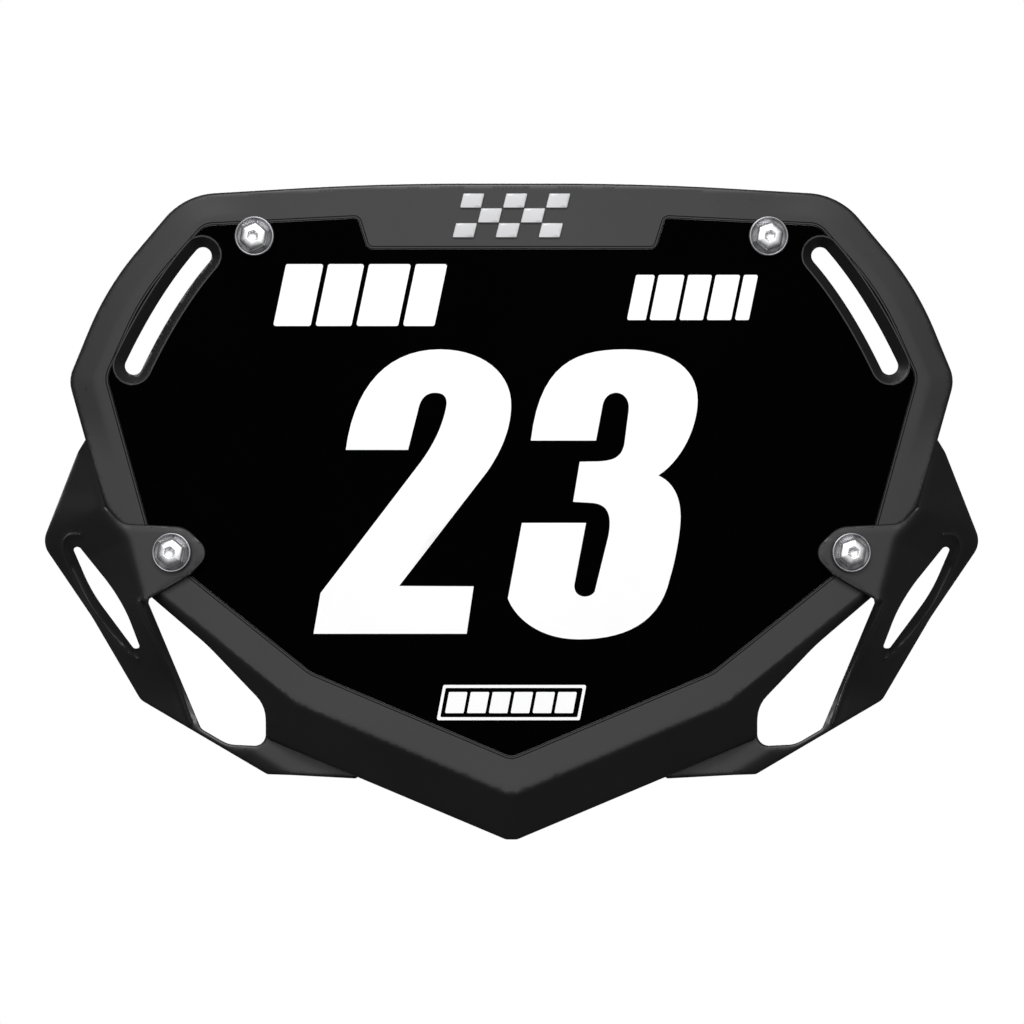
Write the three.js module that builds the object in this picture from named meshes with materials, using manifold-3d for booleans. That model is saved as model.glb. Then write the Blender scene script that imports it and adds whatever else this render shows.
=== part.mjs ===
// A race number plate for the crossbar of a BMX handlebar: a moulded frame and two side wings hold a
// clear number panel under four bolts, and two hook-and-loop straps tie it to the bar through rubber pads.
// Millimetres. X runs to the viewer's right, the front faces -Y, Z is up, and the origin lies on the
// axis of the handlebar crossbar, midway between the straps.
import * as THREE from "three";
import { mergeVertices } from "three/addons/utils/BufferGeometryUtils.js";
import Module from "manifold-3d";

const wasm = await Module();
wasm.setup();

// ---- Driving dimensions ----
const FRONT_Y = -34; // front of the band on the centre line
const BOW_RADIUS = 430; // radius of the plate's bow about a vertical axis
const FACET_EDGES = [10, 34, 58, 80, 103, 127]; // the bow runs in flat facets between these x
const BAND_DEPTH = 14; // front of the band to the back edge of the skirt
const SKIN = 3; // wall of the frame moulding
const PANEL_FRONT = 1; // all depths are behind the band's front
const PANEL_THICK = 1.5;
const FILM_THICK = 0.2;
const FILM_GAP = 0.05;
const BED_FRONT = 2.8; // shelf that the panel rests on
const WALL_FRONT = 6.4; // back wall of the tray
const WALL_BACK = 8.9;
const BED_WIDTH = 6;
const TAB_FRONT = -2.5; // front of the wing's tab, over the band
const TAB_THICK = 2.2;
const LEDGE_FRONT = BAND_DEPTH + 0.3; // front of the wing's ledge, behind the skirt
const CHIN_SLOPE = 0.85; // depth gained per mm below the V edge
const WING_SLOPES = [1.25, 1.75, 0.75]; // depth gained per mm outward of the fold, at WING_SLOPE_Z
const WING_SLOPE_Z = [-49, -69, -91];
const GAP = 0.3;
const BOLT_RADIUS = 2; // M4
const HEAD_RADIUS = 4;
const HEAD_HEIGHT = 2.2;
const WASHER_RADIUS = 5.4;
const WASHER_THICK = 1.2;
const BOSS_RADIUS = 5.2; // round each threaded insert
const UPPER_BOLT = [69.2, 34];
const LOWER_BOLT = [91, -51.4];
const FOOT_SCREW = [53, -98.8];
const BAR_RADIUS = 11.1; // handlebar crossbar, 22.2 mm across
const STRAP_X = 46;
const STRAP_WIDTH = 16;
const STRAP_THICK = 1.5;
const STRAP_LEG_Z = 12.4; // middle of the strap's thickness above and below the bar

// ---- Outlines, as [x, z, corner radius] ----
// Left half from the top centre to the bottom centre; the right half mirrors it.
const FRAME_HALF = [
  [-35.3, 48.15, 800],
  [-88.3, 45.1, 19],
  [-109.3, 20.1, 80],
  [-119.5, -4.7, 9],
  [-109.9, -38.9, 3],
  [-102.6, -47.5, 8],
  [-97.4, -63.2, 2],
  [-82, -76.4, 60],
  [-66.5, -92.6, 9],
  [-66.1, -101.6, 2],
  [-1.5, -128.8, 2],
];
const WINDOW_HALF = [
  [-38.8, 30.6, 2],
  [-41.4, 38.95, 1.5],
  [-82.8, 36.9, 5],
  [-99.2, 18.4, 70],
  [-109.2, -4.1, 6],
  [-96.6, -49.8, 8],
  [-54.2, -83.8, 12],
  [0, -106.75, 4],
];
// Lower edge of the hollow behind the back wall, before its inset.
const BACK_HALF = [
  [-98.2, -62.5, 4],
  [-59.5, -95.5, 12],
  [0, -121, 2],
];
// The line where the front band turns into the chin bevel.
const V_EDGE = [
  [-98.2, -60.3],
  [-58, -92.35],
  [0, -117.2],
];
const VENT_PATH = [
  [-83.2, 28.6],
  [-92.9, 15.4],
  [-101.9, -1.1],
];
const VENT_HALF_WIDTH = 2.35;
const RIM_HALF_WIDTH = 5.4;
const RIM_SHIFT = -0.4; // the rim stands a little further out than its slot
// Wing: the fold between the faces that look forward and the swept side.
const WING_FOLD = [
  [-115.85, -20.5],
  [-110.3, -39.1],
  [-103.4, -47.7],
  [-99.2, -64.5],
  [-86.4, -98.8],
  [-84, -100.4],
  [-76.8, -104.1],
  [-70, -104.8],
  [-59.7, -111.4],
];
const WING_SIDE = [
  [-65.9, -111.2, 2],
  [-100, -91.15, 4],
  [-113.1, -68.8, 40],
  [-126.6, -48.9, 6],
  [-117, -24.4, 10],
];
const LENS = [
  [-116.7, -49.7, 1.2],
  [-118.3, -50.2, 1],
  [-113.2, -62, 30],
  [-101.9, -77.2, 1],
  [-100.1, -77.2, 1],
  [-103.9, -67.2, 30],
  [-108, -60.5, 40],
];
const WING_TAB = [
  [-40.9, -112.4, 1],
  [-43.5, -104, 2],
  [-48, -92.5, 3],
  [-63, -92.5, 3],
  [-66.3, -97, 1],
  [-66.3, -103.6, 3.5],
  [-76.5, -103.1, 8],
  [-83.7, -98.9, 2.5],
  [-97.9, -65, 1],
  [-97.7, -63.9, 0.5],
  [-86.5, -57.4, 1],
  [-80.9, -51.4, 6],
  [-88, -44.4, 7],
  [-105.2, -43.6, 6],
];

// ---- Bow ----
const bowAt = (x) => (x * x) / (2 * BOW_RADIUS);

// Depth of the bow at x, along flat facets that meet at FACET_EDGES.
function bow(x) {
  const far = Math.abs(x);
  if (far <= FACET_EDGES[0]) return bowAt(FACET_EDGES[0]);
  const i = FACET_EDGES.findIndex((edge) => edge >= far);
  const [a, b] = [FACET_EDGES[i - 1], FACET_EDGES[i]];
  return bowAt(a) + ((bowAt(b) - bowAt(a)) * (far - a)) / (b - a);
}

// Slope of the facet at x, as an angle about Z.
const bowAngle = (x) => Math.atan((bow(x + 0.1) - bow(x)) / 0.1);

// ---- Outline tools ----
// Replaces each corner [x, z, radius] with an arc, in steps of about 20 degrees.
function roundCorners(corners, step = Math.PI / 9) {
  const points = [];
  corners.forEach(([x, z, radius = 0], i) => {
    const corner = new THREE.Vector2(x, z);
    const before = corners[(i + corners.length - 1) % corners.length];
    const after = corners[(i + 1) % corners.length];
    const back = new THREE.Vector2(before[0], before[1]).sub(corner);
    const ahead = new THREE.Vector2(after[0], after[1]).sub(corner);
    const room = 0.49 * Math.min(back.length(), ahead.length());
    back.normalize();
    ahead.normalize();
    const half = Math.acos(THREE.MathUtils.clamp(back.dot(ahead), -1, 1)) / 2;
    const reach = Math.min(radius / Math.tan(half), room);
    if (reach < 0.05) {
      points.push(corner);
      return;
    }
    const r = reach * Math.tan(half);
    const centre = back.clone().add(ahead).normalize().multiplyScalar(r / Math.sin(half)).add(corner);
    const start = back.clone().multiplyScalar(reach).add(corner).sub(centre);
    const turn = Math.sign(back.cross(ahead)) * (Math.PI - 2 * half);
    const steps = Math.max(1, Math.round(Math.abs(turn) / step));
    for (let k = 0; k <= steps; k++) {
      const a = (-turn * k) / steps;
      points.push(start.clone().rotateAround(new THREE.Vector2(), a).add(centre));
    }
  });
  return points;
}

// Closes a left half outline with its mirror image, keeping one of each corner on the centre line.
function mirrored(half) {
  const beside = half.filter(([x]) => x < 0);
  return [...half, ...beside.map(([x, z, radius]) => [-x, z, radius]).reverse()];
}

const flipX = (points) => points.map((p) => new THREE.Vector2(-p.x, p.y)).reverse();

// Moves every side of an anticlockwise outline inward by distance (outward when negative).
function inset(corners, distance) {
  return corners.map(([x, z, radius = 0], i) => {
    const before = corners[(i + corners.length - 1) % corners.length];
    const after = corners[(i + 1) % corners.length];
    const a = new THREE.Vector2(x - before[0], z - before[1]).normalize();
    const b = new THREE.Vector2(after[0] - x, after[1] - z).normalize();
    const inward = new THREE.Vector2(-a.y - b.y, a.x + b.x).normalize();
    const reach = distance / (inward.y * a.x - inward.x * a.y);
    const rounder = Math.max(0.2, radius - Math.sign(a.cross(b)) * distance);
    return [x + inward.x * reach, z + inward.y * reach, rounder];
  });
}

// A band of the given half width round an open path, with round ends.
function bandRound(path, halfWidth, shift = 0) {
  const curve = new THREE.CatmullRomCurve3(path.map(([x, z]) => new THREE.Vector3(x, z, 0)));
  const samples = [0, 0.25, 0.5, 0.75, 1].map((t) => {
    const along = curve.getTangent(t);
    const across = new THREE.Vector2(-along.y, along.x);
    const at = curve.getPoint(t);
    return { at: new THREE.Vector2(at.x, at.y).addScaledVector(across, shift), across };
  });
  const side = (sign, list) =>
    list.map(({ at, across }) => at.clone().addScaledVector(across, sign * halfWidth));
  const cap = ({ at, across }, sign) =>
    [1, 2, 3, 4, 5].map((k) => {
      const arm = across.clone().multiplyScalar(sign * halfWidth);
      return arm.rotateAround(new THREE.Vector2(), (-Math.PI * k) / 6).add(at);
    });
  const reversed = [...samples].reverse();
  return [
    ...side(1, samples),
    ...cap(samples[4], 1),
    ...side(-1, reversed),
    ...cap(samples[0], -1),
  ];
}

const circle = (x, z, radius, sides = 12) =>
  Array.from({ length: sides }, (_, k) => {
    const a = (2 * Math.PI * k) / sides;
    return new THREE.Vector2(x + radius * Math.cos(a), z + radius * Math.sin(a));
  });

const rectangle = (x0, z0, x1, z1, slant = 0) => [
  new THREE.Vector2(x0, z0),
  new THREE.Vector2(x1, z0),
  new THREE.Vector2(x1 + slant, z1),
  new THREE.Vector2(x0 + slant, z1),
];

// ---- Plates: solids between two depths over an outline ----
// Cuts the flat triangles along the line where side(x, z) is 0. snap gives each new point its one
// shared copy, so that neighbours stay joined.
function splitAlong(triangles, side, snap) {
  const tiny = 0.002;
  const between = (p, q) => {
    const [a, b] = p.x < q.x || (p.x === q.x && p.y < q.y) ? [p, q] : [q, p];
    const [sa, sb] = [side(a.x, a.y), side(b.x, b.y)];
    return snap(a.clone().lerp(b, sa / (sa - sb)));
  };
  const clip = (triangle, sign) => {
    const kept = [];
    triangle.forEach((p, i) => {
      const q = triangle[(i + 1) % 3];
      const [sp, sq] = [sign * side(p.x, p.y), sign * side(q.x, q.y)];
      if (sp >= -tiny) kept.push(p);
      if ((sp > tiny && sq < -tiny) || (sp < -tiny && sq > tiny)) kept.push(between(p, q));
    });
    const real = kept.some((p) => sign * side(p.x, p.y) > tiny);
    return real ? kept.slice(2).map((p, i) => [kept[0], kept[i + 1], p]) : [];
  };
  return triangles.flatMap((triangle) => {
    const flush = triangle.every((p) => Math.abs(side(p.x, p.y)) <= tiny);
    return flush ? [triangle] : [...clip(triangle, 1), ...clip(triangle, -1)];
  });
}

const atX = (x0) => (x) => x - x0;
const atZ = (z0) => (x, z) => z - z0;
const FACET_CUTS = FACET_EDGES.flatMap((x) => [atX(x), atX(-x)]);

// regions: list of { outline, holes }. front and back give the depth behind the band's front.
function plate(regions, front, back, cuts = []) {
  const known = [];
  const snap = (p) => {
    const near = known.find((q) => q.distanceTo(p) < 0.001);
    if (!near) known.push(p);
    return near ?? p;
  };
  const turned = (points, clockwise) =>
    THREE.ShapeUtils.isClockWise(points) === clockwise ? points : [...points].reverse();
  let triangles = regions.flatMap(({ outline, holes = [] }) => {
    const rim = turned(outline, false);
    const gaps = holes.map((hole) => turned(hole, true));
    const all = [rim, ...gaps].flat().map(snap);
    return THREE.ShapeUtils.triangulateShape(rim, gaps).map((face) => face.map((i) => all[i]));
  });
  for (const side of [...FACET_CUTS, ...cuts]) triangles = splitAlong(triangles, side, snap);
  triangles = triangles.filter((t) => new Set(t).size === 3);

  const key = (p, q) => known.indexOf(p) + " " + known.indexOf(q);
  const edges = new Map();
  for (const t of triangles)
    t.forEach((p, i) => edges.set(key(p, t[(i + 1) % 3]), [p, t[(i + 1) % 3]]));
  const vertices = [];
  const put = (p, depth) => vertices.push(p.x, FRONT_Y + bow(p.x) + depth(p.x, p.y), p.y);
  for (const [a, b, c] of triangles) {
    [a, b, c].forEach((p) => put(p, front));
    [a, c, b].forEach((p) => put(p, back));
  }
  for (const [p, q] of edges.values()) {
    if (edges.has(key(q, p))) continue;
    put(p, front);
    put(p, back);
    put(q, back);
    put(p, front);
    put(q, back);
    put(q, front);
  }
  const geometry = new THREE.BufferGeometry();
  geometry.setAttribute("position", new THREE.Float32BufferAttribute(vertices, 3));
  return geometry;
}

const flat = (depth) => () => depth;

// ---- Booleans ----
function solid(geometry) {
  const bare = geometry.clone();
  bare.deleteAttribute("normal");
  bare.deleteAttribute("uv");
  const merged = mergeVertices(bare, 1e-4);
  return new wasm.Manifold(
    new wasm.Mesh({
      numProp: 3,
      vertProperties: merged.attributes.position.array,
      triVerts: new Uint32Array(merged.index.array),
    }),
  );
}

// The finished body, without the slivers that cuts leave behind.
function geometryOf(body) {
  const mesh = body.simplify(0.006).getMesh();
  const geometry = new THREE.BufferGeometry();
  geometry.setAttribute("position", new THREE.BufferAttribute(mesh.vertProperties, 3));
  geometry.setIndex(new THREE.BufferAttribute(mesh.triVerts, 1));
  return geometry;
}

const add = (body, pieces) => pieces.reduce((sum, g) => sum.add(solid(g)), body);
const cut = (body, pieces) => pieces.reduce((rest, g) => rest.subtract(solid(g)), body);

// ---- Turned pieces, on an axis that stands square to the plate at (x, z) ----
// Moves a piece made along Y so that +Y points out of the plate, with y = 0 at the given depth.
// The turn is about the point on the front surface, so pieces at one place share one axis.
function standAt(geometry, [x, z], depth) {
  return geometry
    .translate(0, -depth * Math.cos(bowAngle(x)), 0)
    .rotateX(Math.PI)
    .rotateZ(bowAngle(x))
    .translate(x, FRONT_Y + bow(x), z);
}

// A cylinder between two depths, square to the plate.
function post(at, radius, frontDepth, backDepth, sides = 12) {
  const length = backDepth - frontDepth;
  const cylinder = new THREE.CylinderGeometry(radius, radius, length, sides);
  return standAt(cylinder, at, (frontDepth + backDepth) / 2);
}

const lathe = (profile, sides = 16) =>
  new THREE.LatheGeometry(profile.map(([r, y]) => new THREE.Vector2(r, y)), sides);

// ---- Materials ----
const finish = (color, roughness, metalness = 0) =>
  new THREE.MeshStandardMaterial({ color, roughness, metalness });
const NYLON = finish(0x3a3a3b, 0.55);
const WING_NYLON = finish(0x1a1a1b, 0.5);
const CLEAR_SHEET = finish(0x9aa0a4, 0.15);
const BLACK_FILM = finish(0x050505, 0.35);
const WHITE_FILM = finish(0xf2f2f2, 0.4);
const BADGE_GREY = finish(0xd8d8d8, 0.4);
const STEEL = finish(0xc9cacc, 0.25, 1);
const BRASS = finish(0xb5944f, 0.35, 1);
const RUBBER = finish(0x18181a, 0.85);
const WEBBING = finish(0x141416, 0.95);

const plateGroup = new THREE.Group();
plateGroup.name = "race_number_plate";

function addPiece(name, geometry, material) {
  const mesh = new THREE.Mesh(geometry, material);
  mesh.name = name;
  plateGroup.add(mesh);
}

const SIDES = [
  ["left", -1],
  ["right", 1],
];
const BOLTS = SIDES.flatMap(([side, sign]) => [
  { name: "upper_" + side, at: [sign * UPPER_BOLT[0], UPPER_BOLT[1]], seat: 0 },
  { name: "lower_" + side, at: [sign * LOWER_BOLT[0], LOWER_BOLT[1]], seat: TAB_FRONT },
]);

// ---- Frame ----
const FRAME = mirrored(FRAME_HALF);
const WINDOW = mirrored(WINDOW_HALF);
const VENT = bandRound(VENT_PATH, VENT_HALF_WIDTH);
const VENT_RIM = bandRound(VENT_PATH, RIM_HALF_WIDTH, RIM_SHIFT);

// Height of the V edge above or below a point: one straight stretch each side of x = -58.
const V_LINES = [0, 1].map((i) => {
  const [[ax, az], [bx, bz]] = [V_EDGE[i], V_EDGE[i + 1]];
  return (x, z) => az + ((Math.abs(x) + ax) * (bz - az)) / (ax - bx) - z;
});
const chinDepth = (x, z) => CHIN_SLOPE * Math.max(0, ...V_LINES.map((line) => line(x, z)));
const V_CUTS = [
  atX(0),
  ...[-1, 1].flatMap((sign) =>
    V_LINES.map((line, i) => {
      const slope = (V_EDGE[i + 1][1] - V_EDGE[i][1]) / (V_EDGE[i + 1][0] - V_EDGE[i][0]);
      return (x, z) => V_EDGE[i][1] + slope * (-sign * x - V_EDGE[i][0]) - z;
    }),
  ),
];

// The hollow in the back of the moulding, inside the skirt, and a pocket behind the top tab.
function hollows() {
  const back = roundCorners(inset(mirrored([...FRAME_HALF.slice(0, 6), ...BACK_HALF]), SKIN));
  return [
    plate([{ outline: back }], flat(WALL_BACK), flat(BAND_DEPTH + 2)),
    plate([{ outline: rectangle(-35, 33.5, 35, 44) }], flat(SKIN), flat(WALL_BACK + 1)),
  ];
}

// Ribs across the back of the tray: two along X and two upright.
function backRibs() {
  const rib = (x0, z0, x1, z1) =>
    plate([{ outline: rectangle(x0, z0, x1, z1) }], flat(WALL_BACK - 1), flat(WALL_BACK + 3));
  return [
    rib(-77, 22, 77, 24),
    rib(-100, -26, 100, -24),
    rib(-19, -98, -17, 42),
    rib(17, -98, 19, 42),
  ];
}

function faceFrame() {
  const vents = [VENT, flipX(VENT)];
  const rims = [VENT_RIM, flipX(VENT_RIM)];
  const outline = roundCorners(FRAME);
  const bed = roundCorners(inset(WINDOW, BED_WIDTH));
  let body = cut(solid(plate([{ outline }], chinDepth, flat(BAND_DEPTH), V_CUTS)), [
    plate([{ outline: roundCorners(WINDOW) }], flat(-1), flat(BED_FRONT)),
    plate([{ outline: bed }], flat(1), flat(WALL_FRONT)),
    ...hollows(),
  ]);
  body = add(body, [
    ...rims.map((outline) => plate([{ outline }], flat(0.5), flat(WALL_BACK - 0.5))),
    ...BOLTS.map(({ at, seat }) => post(at, BOSS_RADIUS, seat ? 0 : BED_FRONT, 12)),
    ...backRibs(),
    ...[-1, 1].map((sign) =>
      plate(
        [{ outline: circle(sign * FOOT_SCREW[0], FOOT_SCREW[1], 4) }],
        (x, z) => chinDepth(x, z) + 1.5,
        flat(BAND_DEPTH - 0.05),
        V_CUTS,
      ),
    ),
  ]);
  const strapSlots = [-1, 1].flatMap((side) =>
    [-1, 1].map((end) => {
      const [x, z] = [side * STRAP_X, end * STRAP_LEG_Z];
      const outline = rectangle(x - 8.6, z - 1.5, x + 8.6, z + 1.5);
      return plate([{ outline }], flat(4), flat(16));
    }),
  );
  body = cut(body, [
    ...vents.map((outline) => plate([{ outline }], flat(-2), flat(20))),
    ...strapSlots,
    ...BOLTS.map(({ at }) => post(at, 2.6, -3, 20)),
    ...BOLTS.map(({ at }) => post(at, 3.5, 3.8, 10.4)),
    ...[-1, 1].map((sign) => post([sign * FOOT_SCREW[0], FOOT_SCREW[1]], 1.6, 8, 20)),
  ]);
  return geometryOf(body);
}
addPiece("face_frame", faceFrame(), NYLON);

// ---- Side wings ----
// Signed distance from the fold: positive on the swept side.
function outwardOfFold(x, z) {
  let best = Infinity;
  let signed = 0;
  for (let i = 0; i + 1 < WING_FOLD.length; i++) {
    const [ax, az] = WING_FOLD[i];
    const [dx, dz] = [WING_FOLD[i + 1][0] - ax, WING_FOLD[i + 1][1] - az];
    const t = THREE.MathUtils.clamp(((x - ax) * dx + (z - az) * dz) / (dx * dx + dz * dz), 0, 1);
    const distance = Math.hypot(x - ax - t * dx, z - az - t * dz);
    if (distance < best) {
      best = distance;
      signed = Math.sign((x - ax) * dz - (z - az) * dx) * distance;
    }
  }
  return signed;
}

// Depth of the fold: beside the band, up over it at the tab, then back to the ledge under the chin.
function foldDepth(z) {
  const { smoothstep } = THREE.MathUtils;
  const beside = 0.5;
  const rise = smoothstep(-z, 33, 38.5) * (TAB_FRONT - beside);
  const fall = smoothstep(-z, 63.5, 92) * (LEDGE_FRONT - TAB_FRONT);
  return beside + rise + fall;
}

// The swept side is steepest at its narrow middle, so that its outer edge runs smoothly.
function sweepAt(z) {
  const { lerp, smoothstep } = THREE.MathUtils;
  const [top, middle, foot] = WING_SLOPES;
  const upper = lerp(top, middle, smoothstep(-z, -WING_SLOPE_Z[0], -WING_SLOPE_Z[1]));
  return lerp(upper, foot, smoothstep(-z, -WING_SLOPE_Z[1], -WING_SLOPE_Z[2]));
}
const wingFront = (x, z) => foldDepth(z) + sweepAt(z) * Math.max(0, outwardOfFold(-Math.abs(x), z));
function wingBack(x, z) {
  const outward = Math.max(0, outwardOfFold(-Math.abs(x), z));
  return wingFront(x, z) + TAB_THICK + Math.min(1.8, 0.6 * outward);
}

// The left wing; the right one is its mirror image.
function leftWing() {
  const fold = WING_FOLD.map(([x, z]) => new THREE.Vector2(x, z));
  const side = roundCorners([WING_FOLD.at(-1), ...WING_SIDE, WING_FOLD[0]]).slice(1, -1);
  const tab = roundCorners([WING_FOLD.at(-1), ...WING_TAB, WING_FOLD[1]]).slice(1, -1);
  const regions = [
    { outline: [...fold, ...side], holes: [roundCorners(LENS)] },
    { outline: [...fold.slice(1), ...tab] },
  ];
  const grid = [-33, -38.5, -50, -57, -63.5, -69, -75, -81, -87, -92].map(atZ);
  const bolt = [-LOWER_BOLT[0], LOWER_BOLT[1]];
  const screw = [-FOOT_SCREW[0], FOOT_SCREW[1]];
  return cut(solid(plate(regions, wingFront, wingBack, grid)), [
    post(bolt, 2.6, -6, 4),
    post(screw, 1.9, 10, 22),
  ]);
}

function mirrorX(geometry) {
  geometry.scale(-1, 1, 1);
  geometry.index.array.reverse();
  return geometry;
}
addPiece("side_wing_left", geometryOf(leftWing()), WING_NYLON);
addPiece("side_wing_right", mirrorX(geometryOf(leftWing())), WING_NYLON);

// ---- Number panel and its films ----
function sheet(edgeGap, front, thick) {
  const outline = roundCorners(inset(WINDOW, edgeGap));
  const body = solid(plate([{ outline }], flat(front), flat(front + thick)));
  const rim = bandRound(VENT_PATH, RIM_HALF_WIDTH + GAP, RIM_SHIFT);
  const rimHoles = [rim, flipX(rim)].map((outline) => plate([{ outline }], flat(-3), flat(6)));
  const boltHoles = BOLTS.map(({ at, seat }) => post(at, seat ? BOSS_RADIUS + 0.4 : 2.6, -3, 6));
  return geometryOf(cut(body, [...rimHoles, ...boltHoles]));
}
const FILM_FRONT = PANEL_FRONT - FILM_GAP - FILM_THICK;
const PRINT_FRONT = FILM_FRONT - FILM_GAP - FILM_THICK;
addPiece("number_panel", sheet(0.4, PANEL_FRONT, PANEL_THICK), CLEAR_SHEET);
addPiece("background_decal", sheet(0.8, FILM_FRONT, FILM_THICK), BLACK_FILM);

const film = (outline) => plate([{ outline }], flat(PRINT_FRONT), flat(PRINT_FRONT + FILM_THICK));

function numeralTwo() {
  const path = new THREE.Path();
  path.moveTo(-44.7, -23.7);
  path.bezierCurveTo(-42.4, -6, -33, 3.4, -19.4, 3.4);
  path.bezierCurveTo(-7.5, 3.4, 0, -3.2, -0.1, -11.6);
  path.bezierCurveTo(-0.1, -18.5, -3.2, -24.7, -6.5, -29.5);
  path.lineTo(-30.3, -60.4);
  path.lineTo(-10.2, -60.5);
  path.lineTo(-12.1, -73.3);
  path.lineTo(-53.4, -73.3);
  path.lineTo(-51.5, -62.3);
  path.lineTo(-24.5, -27);
  path.quadraticCurveTo(-19, -19.5, -17.6, -12);
  path.quadraticCurveTo(-17, -8.3, -20.6, -8.3);
  path.quadraticCurveTo(-24.3, -8.3, -25.2, -13);
  path.lineTo(-27.9, -23.7);
  return path.getPoints(7).slice(0, -1);
}

function numeralThree() {
  const path = new THREE.Path();
  path.moveTo(5.2, -21.2);
  path.bezierCurveTo(7.6, -0.5, 17, 3.4, 30.6, 3.4);
  path.bezierCurveTo(44, 3.4, 50.2, -2.4, 50.2, -10.3);
  path.bezierCurveTo(50.2, -17.5, 46, -26.5, 39.6, -30.6);
  path.bezierCurveTo(43.6, -32.4, 45.6, -36.4, 45.6, -41.7);
  path.bezierCurveTo(45.6, -46, 44.2, -53.5, 42.7, -58.4);
  path.bezierCurveTo(40, -70.5, 30.5, -74.8, 18.1, -74.8);
  path.bezierCurveTo(7, -74.8, 0.8, -68.6, -1, -63.8);
  path.lineTo(2.8, -43.4);
  path.lineTo(20.1, -43.4);
  path.lineTo(17, -59.8);
  path.bezierCurveTo(16.4, -63.6, 20.8, -64.2, 22.4, -62);
  path.lineTo(26.1, -47);
  path.bezierCurveTo(27.6, -39.4, 24.5, -38.2, 21.5, -38);
  path.lineTo(16.6, -37.7);
  path.lineTo(18.4, -26.9);
  path.lineTo(23.5, -26.8);
  path.bezierCurveTo(28, -26.6, 29.6, -25.4, 30.4, -22.3);
  path.lineTo(31.6, -13);
  path.bezierCurveTo(32.2, -7.4, 25.6, -6.6, 24.6, -11.6);
  path.lineTo(22.8, -21.2);
  return path.getPoints(6).slice(0, -1);
}
addPiece("numeral_2", film(numeralTwo()), WHITE_FILM);
addPiece("numeral_3", film(numeralThree()), WHITE_FILM);

// Small printed marks: plain slanted blocks, and an outlined strip at the foot.
addPiece("name_decal", film(rectangle(-64.3, 9.7, -20.8, 26.4, 3.5)), WHITE_FILM);
addPiece("side_decal", film(rectangle(31.1, 11.3, 64, 23.5, 2.5)), WHITE_FILM);
addPiece("foot_decal", film(rectangle(-20.2, -96.6, 18.4, -87.1, 1.8)), WHITE_FILM);
const badge = plate([{ outline: rectangle(-16, 33.5, 13, 45.5, 3) }], flat(-1), flat(-FILM_GAP));
addPiece("top_badge", badge, BADGE_GREY);

// ---- Bolts, washers, inserts ----
function boltBody() {
  const shank = 11;
  const rim = 0.8;
  const crown = [30, 60].map((degrees) => {
    const a = THREE.MathUtils.degToRad(degrees);
    return [HEAD_RADIUS * Math.cos(a), rim + (HEAD_HEIGHT - rim) * Math.sin(a)];
  });
  const profile = [
    [0, -shank],
    [BOLT_RADIUS - 0.4, -shank],
    [BOLT_RADIUS, -shank + 0.5],
    [BOLT_RADIUS, 0],
    [HEAD_RADIUS, 0],
    [HEAD_RADIUS, rim],
    ...crown,
    [0, HEAD_HEIGHT],
  ];
  const socket = new THREE.CylinderGeometry(1.45, 1.45, 3, 6).translate(0, HEAD_HEIGHT, 0);
  return geometryOf(cut(solid(lathe(profile)), [socket]));
}

const ring = (outer, inner, y0, y1, chamfer, sides = 16) =>
  lathe(
    [
      [inner, y0],
      [outer, y0],
      [outer, y1 - chamfer],
      [outer - chamfer, y1],
      [inner, y1],
      [inner, y0],
    ],
    sides,
  );

for (const { name, at, seat } of BOLTS) {
  const washerDepth = seat - GAP;
  const headDepth = washerDepth - WASHER_THICK - GAP;
  const washer = ring(WASHER_RADIUS, BOLT_RADIUS + 0.3, 0, WASHER_THICK, 0.4);
  addPiece("washer_" + name, standAt(washer, at, washerDepth), STEEL);
  addPiece("bolt_" + name, standAt(boltBody(), at, headDepth), STEEL);
  const insert = ring(3.2, BOLT_RADIUS + 0.25, -6, 0, 0.3, 12);
  addPiece("insert_" + name, standAt(insert, at, 4.1), BRASS);
}

// Screws that enter the back of the chin through the wing's foot.
for (const [side, sign] of SIDES) {
  const length = 8;
  const profile = [
    [0, -length],
    [1.3, -length],
    [1.3, 0],
    [3, 0],
    [2.6, 1.4],
    [1.2, 1.9],
    [0, 1.9],
  ];
  const slot = new THREE.CylinderGeometry(1, 1, 2, 6).translate(0, 1.9, 0);
  const body = geometryOf(cut(solid(lathe(profile, 16)), [slot])).rotateX(Math.PI);
  const depth = LEDGE_FRONT + TAB_THICK + GAP;
  const at = [sign * FOOT_SCREW[0], FOOT_SCREW[1]];
  addPiece("wing_screw_" + side, standAt(body, at, depth), STEEL);
}

// ---- Bar pads and straps ----
// Depth behind the plate of the plane or curve at the given y.
const depthOfY = (y, x) => y - FRONT_Y - bow(x);

function barPad(sign) {
  const saddle = BAR_RADIUS + GAP;
  const lipZ = 9.7;
  const outline = rectangle(sign * STRAP_X - 11, -11, sign * STRAP_X + 11, 11);
  const surface = (x, z) => {
    const reach = Math.min(Math.abs(z), lipZ);
    return depthOfY(-Math.sqrt(saddle * saddle - reach * reach), x);
  };
  const steps = [-lipZ, -8, -6, -3, 0, 3, 6, 8, lipZ].map(atZ);
  return plate([{ outline }], flat(WALL_BACK + GAP), surface, steps);
}

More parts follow.
